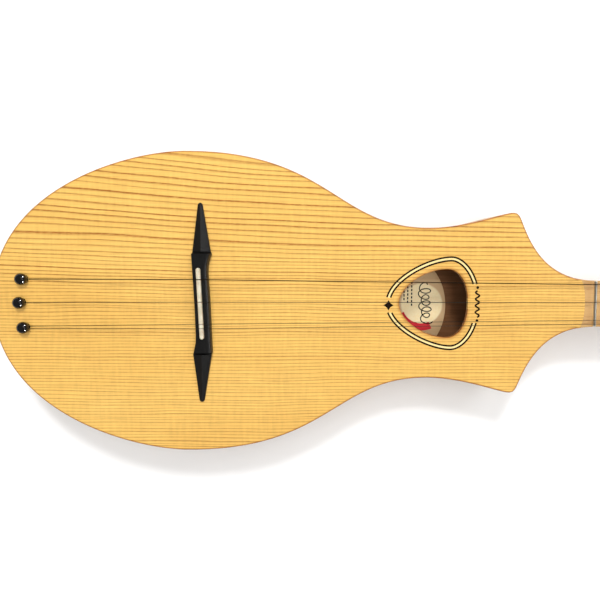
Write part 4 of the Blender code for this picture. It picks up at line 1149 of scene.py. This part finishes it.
def tuner_base(name, place, finish):
    """Base plate with softened edges, and two ears with rounded feet that carry the worm."""
    corners = np.array(
        [
            [-16.0, -5.2], [-14.4, -6.8], [9.4, -6.8], [11.0, -5.2], [11.0, 5.2], [9.4, 6.8],
            [-14.4, 6.8], [-16.0, 5.2]
        ]
    )
    rows = [(0.25, PLATE_TOP), (0, PLATE_TOP - 0.25), (0, PLATE_BOTTOM + 0.25), (0.25, PLATE_BOTTOM)]
    shells = [slab(evenly(corners, 96, True), rows, middle=(0.0, 0.0))]
    angle = np.linspace(-math.pi, 0, 25)
    foot = np.stack([2.75 * np.cos(angle), 2.75 * np.sin(angle)], 1)
    high = PLATE_BOTTOM - GEAR_MID + 0.4
    profile = evenly(
        np.vstack([[[-3.6, high]], [[-2.75, high - 1.4]], foot, [[2.75, high - 1.4]], [[3.6, high]]]), 80,
        True
    )
    for at in (-5.7, 5.7):
        rows = [(0.2, at - 1.08), (0, at - 0.88), (0, at + 0.88), (0.2, at + 1.08)]
        upright = Matrix(((1, 0, 0, -CENTRE_DISTANCE), (0, 0, 1, 0), (0, 1, 0, GEAR_MID), (0, 0, 0, 1)))
        shells.append(outward(moved(slab(profile, rows), upright)))
    add_piece(
        f"{name}_base", *moved(join(*shells), place), finish, stands_for=[f"{name}_plate"],
        slot="nickel_plate", sharp=40
    )


def worm_place(place):
    """Worm frame: Z along the headstock's v, X towards the gear."""
    return place @ shift(-CENTRE_DISTANCE, 0, GEAR_MID) @ Matrix.Rotation(-math.pi / 2, 4, "X")


def worm(name, side, place, finish):
    """Worm on its shaft: the radius is a trapezoid of the distance to the helix z = pitch * turn,
    faded out at both shoulders; journals and the button's stem follow."""
    columns = 40
    z = np.arange(-4.35, 4.36, WORM_PITCH / columns)
    angle = np.linspace(0, 2 * math.pi, columns, endpoint=False)
    phase = z[:, None] / WORM_PITCH - angle[None] / (2 * math.pi)
    apart = np.abs((phase + 0.5) % 1.0 - 0.5) * WORM_PITCH
    thread = np.interp(apart, [0.24, 0.50], [2.52, 1.55])
    fade = np.clip((3.95 - np.abs(z)) / 0.35, 0, 1)[:, None]
    r = 1.55 + (thread - 1.55) * fade
    stem = side * np.array([4.36, 4.37, 4.6, 13.0, 21.4, 21.6])
    stem_r = np.array([1.55, 1.36, 1.33, 1.33, 1.30, 0.02])
    tail = -side * np.array([4.36, 4.37, 4.6, 6.7, 7.0, 7.05])
    tail_r = np.array([1.55, 1.36, 1.33, 1.33, 1.1, 0.02])
    up, up_r, down, down_r = (stem, stem_r, tail, tail_r) if side > 0 else (tail, tail_r, stem, stem_r)
    z = np.concatenate([down[::-1], z, up])
    r = np.vstack([np.repeat(down_r[::-1, None], columns, 1), r, np.repeat(up_r[:, None], columns, 1)])
    points = np.stack([r * np.cos(angle), r * np.sin(angle), np.repeat(z[:, None], columns, 1)], -1)
    shell = outward((points.reshape(-1, 3), net((len(z), columns))))
    add_piece(
        f"{name}_worm_thread", *moved(shell, worm_place(place)), finish, body=f"{name}_worm_body",
        stands_for=[f"{name}_worm"], slot="nickel_plate", sharp=40
    )


def button(name, side, place, finish):
    """Thumb button: rings of a superellipse whose width and thickness follow smooth curves from a
    round neck to an oval paddle with a domed end."""
    z = np.array([0, 0.15, 0.8, 1.6, 2.4, 3.2, 4.2, 5.4, 6.8, 8.2, 9.4, 10.4, 11.2, 11.7, 11.95, 12.0])
    wide = np.array([2.4, 2.9, 3.0, 2.85, 2.75, 3.4, 4.9, 6.1, 6.7, 6.8, 6.5, 5.8, 4.6, 3.2, 1.6, 0.03])
    thick = np.array([2.4, 2.8, 2.8, 2.7, 2.6, 2.6, 2.8, 3.0, 3.15, 3.1, 2.95, 2.6, 2.1, 1.5, 0.8, 0.02])
    finer = np.linspace(0, len(z) - 1, 61)
    z, wide, thick = (np.interp(finer, np.arange(len(a)), a) for a in (z, wide, thick))
    smooth = np.array([1, 2, 3, 2, 1]) / 9
    wide[2:-2], thick[2:-2] = np.convolve(wide, smooth, "valid"), np.convolve(thick, smooth, "valid")
    angle = np.linspace(0, 2 * math.pi, 40, endpoint=False)
    points = np.stack(
        [
            np.outer(wide, np.cos(angle)), np.outer(thick, np.sin(angle)),
            np.repeat(side * (12.2 + z)[:, None], 40, 1)
        ],
        -1
    )
    shell = outward((points.reshape(-1, 3), net((len(z), 40))))
    add_piece(
        f"{name}_thumb_button", *moved(shell, worm_place(place)), finish, body=f"{name}_worm_body",
        stands_for=[f"{name}_button"], slot="gloss_black", sharp=60
    )


def gear(name, place, finish):
    """Worm wheel: the radius is a trapezoid of the distance round to the nearest tooth, with a tooth
    space facing the worm, and a turned hub."""
    angle = np.linspace(0, 2 * math.pi, GEAR_TEETH * 16, endpoint=False)
    step = 2 * math.pi / GEAR_TEETH
    away = np.abs(((angle - math.pi) / step) % 1.0 - 0.5) * step
    r = np.interp(away, [0.048, 0.070, 0.108, 0.130], [4.85, 4.60, 3.95, 3.75])
    ring = np.stack([r * np.cos(angle), r * np.sin(angle)], 1)
    low, high = GEAR_MID - 1.6, GEAR_MID + 1.6
    hub = washer([(2.2, low), (3.1, low), (3.1, high), (2.2, high)], 48)
    levels = [np.column_stack([ring, np.full(len(ring), z)]) for z in (low + 0.3, high - 0.3)]
    inner = circle(3.0, len(ring))
    face = [np.column_stack([inner, np.full(len(ring), z)]) for z in (low + 0.35, high - 0.35)]
    levels = [
        face[0], levels[0] * [0.99, 0.99, 1] - [0, 0, 0.3], levels[0], levels[1],
        levels[1] * [0.99, 0.99, 1] + [0, 0, 0.3], face[1]
    ]
    wheel = outward((np.vstack(levels), net((len(levels), len(ring)), close="joined")))
    add_piece(
        f"{name}_worm_wheel", *moved(join(wheel, hub), place), finish, body=f"{name}_post_body",
        stands_for=[f"{name}_gear"], slot="brass", sharp=30
    )


def post(name, place, finish):
    """Turned string post: domed top, waist for the string, plain shank and a shoulder for the gear."""
    low = GEAR_MID - 1.6
    profile = [
        (0, 14.5), (1.5, 14.5), (2.3, 14.4), (
            2.85, 14.1
        ), (3.1, 13.6), (3.1, 12.7), (3.0, 12.2), (2.7, 11.2),
        (
            2.55, 10.2
        ), (2.5, 9.2), (2.5, 6.2), (2.6, 5.2), (2.85, 4.3), (3.0, 3.9), (3.0, -12.8), (2.5, -12.8),
        (2.5, GEAR_MID + 1.7), (2.03, GEAR_MID + 1.7), (2.03, low + 0.2), (0, low + 0.2),
    ]
    add_piece(
        f"{name}_string_post", *moved(lathe(profile, 48), place), finish, body=f"{name}_post_body",
        stands_for=[f"{name}_post"], slot="nickel_plate", sharp=30
    )


def bushing(name, place, finish):
    """Press-in bushing: a barrel in the headstock and a flange rounded over its face."""
    angle = np.radians(np.linspace(90, 0, 7))
    lip = [(3.95 + 0.65 * math.cos(a), 0.65 + 0.65 * math.sin(a)) for a in angle]
    profile = [(3.22, -8.0), (3.22, 1.1), (3.42, 1.3), *lip, (4.6, 0.04), (4.0, 0.04), (4.0, -8.0)]
    add_piece(
        f"{name}_ferrule", *moved(washer(profile, 56), place), finish, stands_for=[f"{name}_bushing"],
        slot="nickel_plate", sharp=35
    )


def screw_head(radius, high, recess):
    """A domed head with a crossed recess. A square net is bent to a disc; its height is a dome, less
    the recess where either coordinate is near the middle; a flat net closes it beneath."""
    edge = recess / radius
    half = np.array([0, edge * 0.55, edge * 0.98, edge * 1.02, 0.35, 0.47, 0.52, 0.7, 0.85, 0.95, 1.0])
    line = np.concatenate([-half[:0:-1], half])
    gx, gy = np.meshgrid(line, line, indexing="ij")
    x, y = gx * np.sqrt(1 - gy**2 / 2), gy * np.sqrt(1 - gx**2 / 2)
    r = np.minimum(np.hypot(x, y), 1)
    dome = high * (0.35 + 0.65 * np.sqrt(np.clip(1 - r**2.4, 0, 1)))
    arm = (np.minimum(np.abs(gx), np.abs(gy)) < edge) & (np.maximum(np.abs(gx), np.abs(gy)) < 0.5)
    top = np.where(arm, dome - high * 0.55, dome)
    n = len(line)
    upper = np.stack([x * radius, y * radius, top], -1).reshape(-1, 3)
    lower = np.stack([x * radius, y * radius, 0 * x], -1).reshape(-1, 3)
    faces = net((n, n), around=False, close="open")
    border = [k for k in range(n)] + [k * n + n - 1 for k in range(1, n)]
    border += [(n - 1) * n + k for k in range(n - 2, -1, -1)] + [k * n for k in range(n - 2, 0, -1)]
    under = n * n
    cells = faces + [[k + under for k in cell[::-1]] for cell in faces]
    cells += [[a, a + under, b + under, b] for a, b in zip(border, border[1:] + border[:1])]
    wall = np.array(cells[-1])
    points = np.vstack([upper, lower])
    # The side wall's run is turned to agree with the dome's
    first = cells[0]
    if np.cross(points[first[1]] - points[first[0]], points[first[2]] - points[first[0]])[2] < 0:
        cells = [cell[::-1] for cell in cells[: 2 * len(faces)]] + cells[2 * len(faces) :]
    outer = points[wall].mean(0)
    run = np.cross(points[wall[1]] - points[wall[0]], points[wall[2]] - points[wall[0]])
    if run @ (outer * [1, 1, 0]) < 0:
        cells = cells[: 2 * len(faces)] + [cell[::-1] for cell in cells[2 * len(faces) :]]
    return points, cells


def tuner_screws(name, place, finish):
    """Two plate screws and the gear's screw: crossed heads on plain shanks."""
    down = Matrix.Rotation(math.pi, 4, "X")
    for label_, u, z, size, body, cad in (
        ("a", -12.7, PLATE_BOTTOM - 0.03, (2.1, 1.3, 0.3), INSTRUMENT, "plate_screw_a"),
        ("b", 8.0, PLATE_BOTTOM - 0.03, (2.1, 1.3, 0.3), INSTRUMENT, "plate_screw_b"),
        ("gear", 0.0, GEAR_MID - 1.65, (2.6, 1.5, 0.36), f"{name}_post_body", "gear_screw"),
    ):
        turn = Matrix.Rotation(0.4 + u, 4, "Z")
        head = moved(screw_head(*size), shift(u, 0, z) @ down @ turn)
        shank = moved(lathe([(0, 0.05), (0.95, 0.05), (0.95, 3.0), (0, 3.4)], 20), shift(u, 0, z))
        add_piece(
            f"{name}_screw_{label_}", *moved(join(outward(head), shank), place), finish, body=body,
            stands_for=[f"{name}_{cad}"], slot="nickel_plate", sharp=30
        )


# Stage


def stage():
    """White paper floor and a far plain wall that only the camera sees, under a key from above the
    bass side, a broad even sky, and small lights that only give highlights."""
    bpy.ops.mesh.primitive_plane_add(size=40.0, location=(0, 0, 0))
    floor = bpy.context.object
    floor.name = "background_floor"
    floor.data.materials.append(floor_paper())
    mesh = bpy.data.meshes.new("background_wall")
    points, faces = lathe([(0, -1), (15, -1), (16, 2), (14, 9), (0, 14)], 48)
    mesh.from_pydata(np.asarray(points).tolist(), [], faces)
    paper, _, shader = start_material("background_wall_paper", Roughness=1.0, Emission_Strength=0.8)
    shader.inputs["Base Color"].default_value = (0, 0, 0, 1)
    shader.inputs["Emission Color"].default_value = (1, 1, 1, 1)
    mesh.materials.append(paper)
    wall = bpy.data.objects.new("background_wall", mesh)
    wall.visible_diffuse = wall.visible_glossy = wall.visible_shadow = wall.visible_transmission = False
    bpy.context.scene.collection.objects.link(wall)
    world = bpy.data.worlds.new("studio")
    bpy.context.scene.world = world
    world.use_nodes = True
    world.node_tree.nodes["Background"].inputs["Color"].default_value = (1, 1, 1, 1)
    world.node_tree.nodes["Background"].inputs["Strength"].default_value = 0.2
    for name, place, size, power, seen in (
        ("key", (-0.22, 0.78, 1.2), 0.2, 10.2, "diffuse"),
        ("sky", (-0.17, 0.0, 2.2), 1.2, 1.75, "diffuse"),
        ("window", (0.55, 0.75, 1.15), 0.5, 2.6, "both"),
        ("side", (0.75, -0.05, 0.85), 0.35, 1.2, "both"),
        ("edge", (1.2, 0.1, 0.5), 0.4, 5.0, "glossy"),
        ("glint_a", (0.0, 0.355, 0.16), 0.1, 4.0, "glossy"),
        ("glint_b", (-0.05, -0.36, 0.13), 0.1, 4.0, "glossy"),
    ):
        light = bpy.data.lights.new(name, "SUN" if name == "sky" else "AREA")
        if name == "sky":
            light.angle = size
        else:
            light.shape = "SQUARE"
            light.size = size
        light.energy = power
        lamp = bpy.data.objects.new(name, light)
        lamp.location = place
        lamp.rotation_euler = (
            Vector((-0.15, 0, 0.04)) - Vector(place)
        ).to_track_quat("-Z", "Y").to_euler()
        lamp.visible_camera = False
        lamp.visible_glossy = seen != "diffuse"
        lamp.visible_diffuse = seen != "glossy"
        if seen == "glossy":
            lit = bpy.data.collections.new(f"lit_by_{name}")
            for piece in bpy.data.objects:
                if piece.name.startswith("bridge_sculpted" if name == "edge" else "string_pin_"):
                    lit.objects.link(piece)
            lamp.light_linking.receiver_collection = lit
        bpy.context.scene.collection.objects.link(lamp)
    # A narrow spot straight down through the sound hole, for the label
    beam = bpy.data.lights.new("label_spot", "SPOT")
    beam.energy, beam.shadow_soft_size = 4.0, 0.005
    beam.spot_size, beam.spot_blend = math.radians(4.5), 0.5
    spot = bpy.data.objects.new("label_spot", beam)
    spot.location = (to_x(283.5) * MM, 0.0, 0.6)
    spot.visible_camera = False
    bpy.context.scene.collection.objects.link(spot)


def camera():
    """Camera above the body, tipped 4 degrees along its width, 383 mm over the soundboard."""
    eye, target = Vector((-0.17705, 0.0295, 0.431)), Vector((-0.17705, 0.00205, 0.048))
    view = (target - eye).normalized()
    right = view.cross(Vector((0, 1, 0))).normalized()
    up = right.cross(view)
    roll = math.radians(0.13)
    right, up = right * math.cos(roll) + up * math.sin(roll), up * math.cos(roll) - right * math.sin(roll)
    lens = bpy.data.cameras.new("camera")
    lens.lens, lens.sensor_width = 36.0, 36.0
    lens.clip_start = 0.01
    body = bpy.data.objects.new("camera", lens)
    body.matrix_world = Matrix(
        (
            (right.x, up.x, -view.x, eye.x), (right.y, up.y, -view.y, eye.y),
            (right.z, up.z, -view.z, eye.z), (0, 0, 0, 1)
        )
    )
    bpy.context.scene.collection.objects.link(body)
    bpy.context.scene.camera = body


def main():
    bpy.context.scene.view_settings.view_transform = "Standard"
    spruce_wood, maple_wood = spruce(), maple()
    black, ivory, acetal = black_composite(), white_composite(), gloss_black()
    nickel = metal("nickel_plated_steel", "#b9b7b2", "#d4d2cd", 0.2, (400.0, 400.0, 400.0), 0.05)
    nickel_silver = metal(
        "nickel_silver_polished", "#d9d5c8", "#f0ece0", 0.32, (2500.0, 90.0, 2500.0), 0.06
    )
    steel = metal("plain_steel_wire", "#3a3731", "#57524b", 0.3, (60.0, 2500.0, 2500.0), 0.04)
    brass = metal("brass_turned", "#b08a45", "#cfa75c", 0.26, (900.0, 900.0, 900.0), 0.08)
    dark_ink = ink("inlay_dark_brown", "#140b06", "#1e120a", 0.55)
    cream_ink = ink("inlay_cream", "#efd38e", "#f5dea2", 0.45)
    bowl(maple_wood, inside_wood_painted_shade())
    neck_and_headstock(maple_wood)
    soundboard(spruce_wood)
    rosette(dark_ink, cream_ink)
    ornaments(dark_ink)
    bridge(black)
    saddle(ivory)
    nut(ivory)
    frets(nickel_silver)
    pins(acetal)
    strings(steel, wound_wire())
    label(label_paper(), dark_ink)
    for node, finish in (
        ("brace_lower", spruce_wood), ("brace_upper", spruce_wood), ("bridge_plate", maple_wood)
    ):
        frame["nodes"][node].data.materials.clear()
        frame["nodes"][node].data.materials.append(finish)
    head = headstock_matrix()
    for name, (u, v, side) in TUNERS.items():
        place = head @ shift(u, v)
        tuner_base(name, place, nickel)
        worm(name, side, place, nickel)
        button(name, side, place, acetal)
        gear(name, place, brass)
        post(name, place, nickel)
        bushing(name, place, nickel)
        tuner_screws(name, place, nickel)
    stage()
    camera()


main()
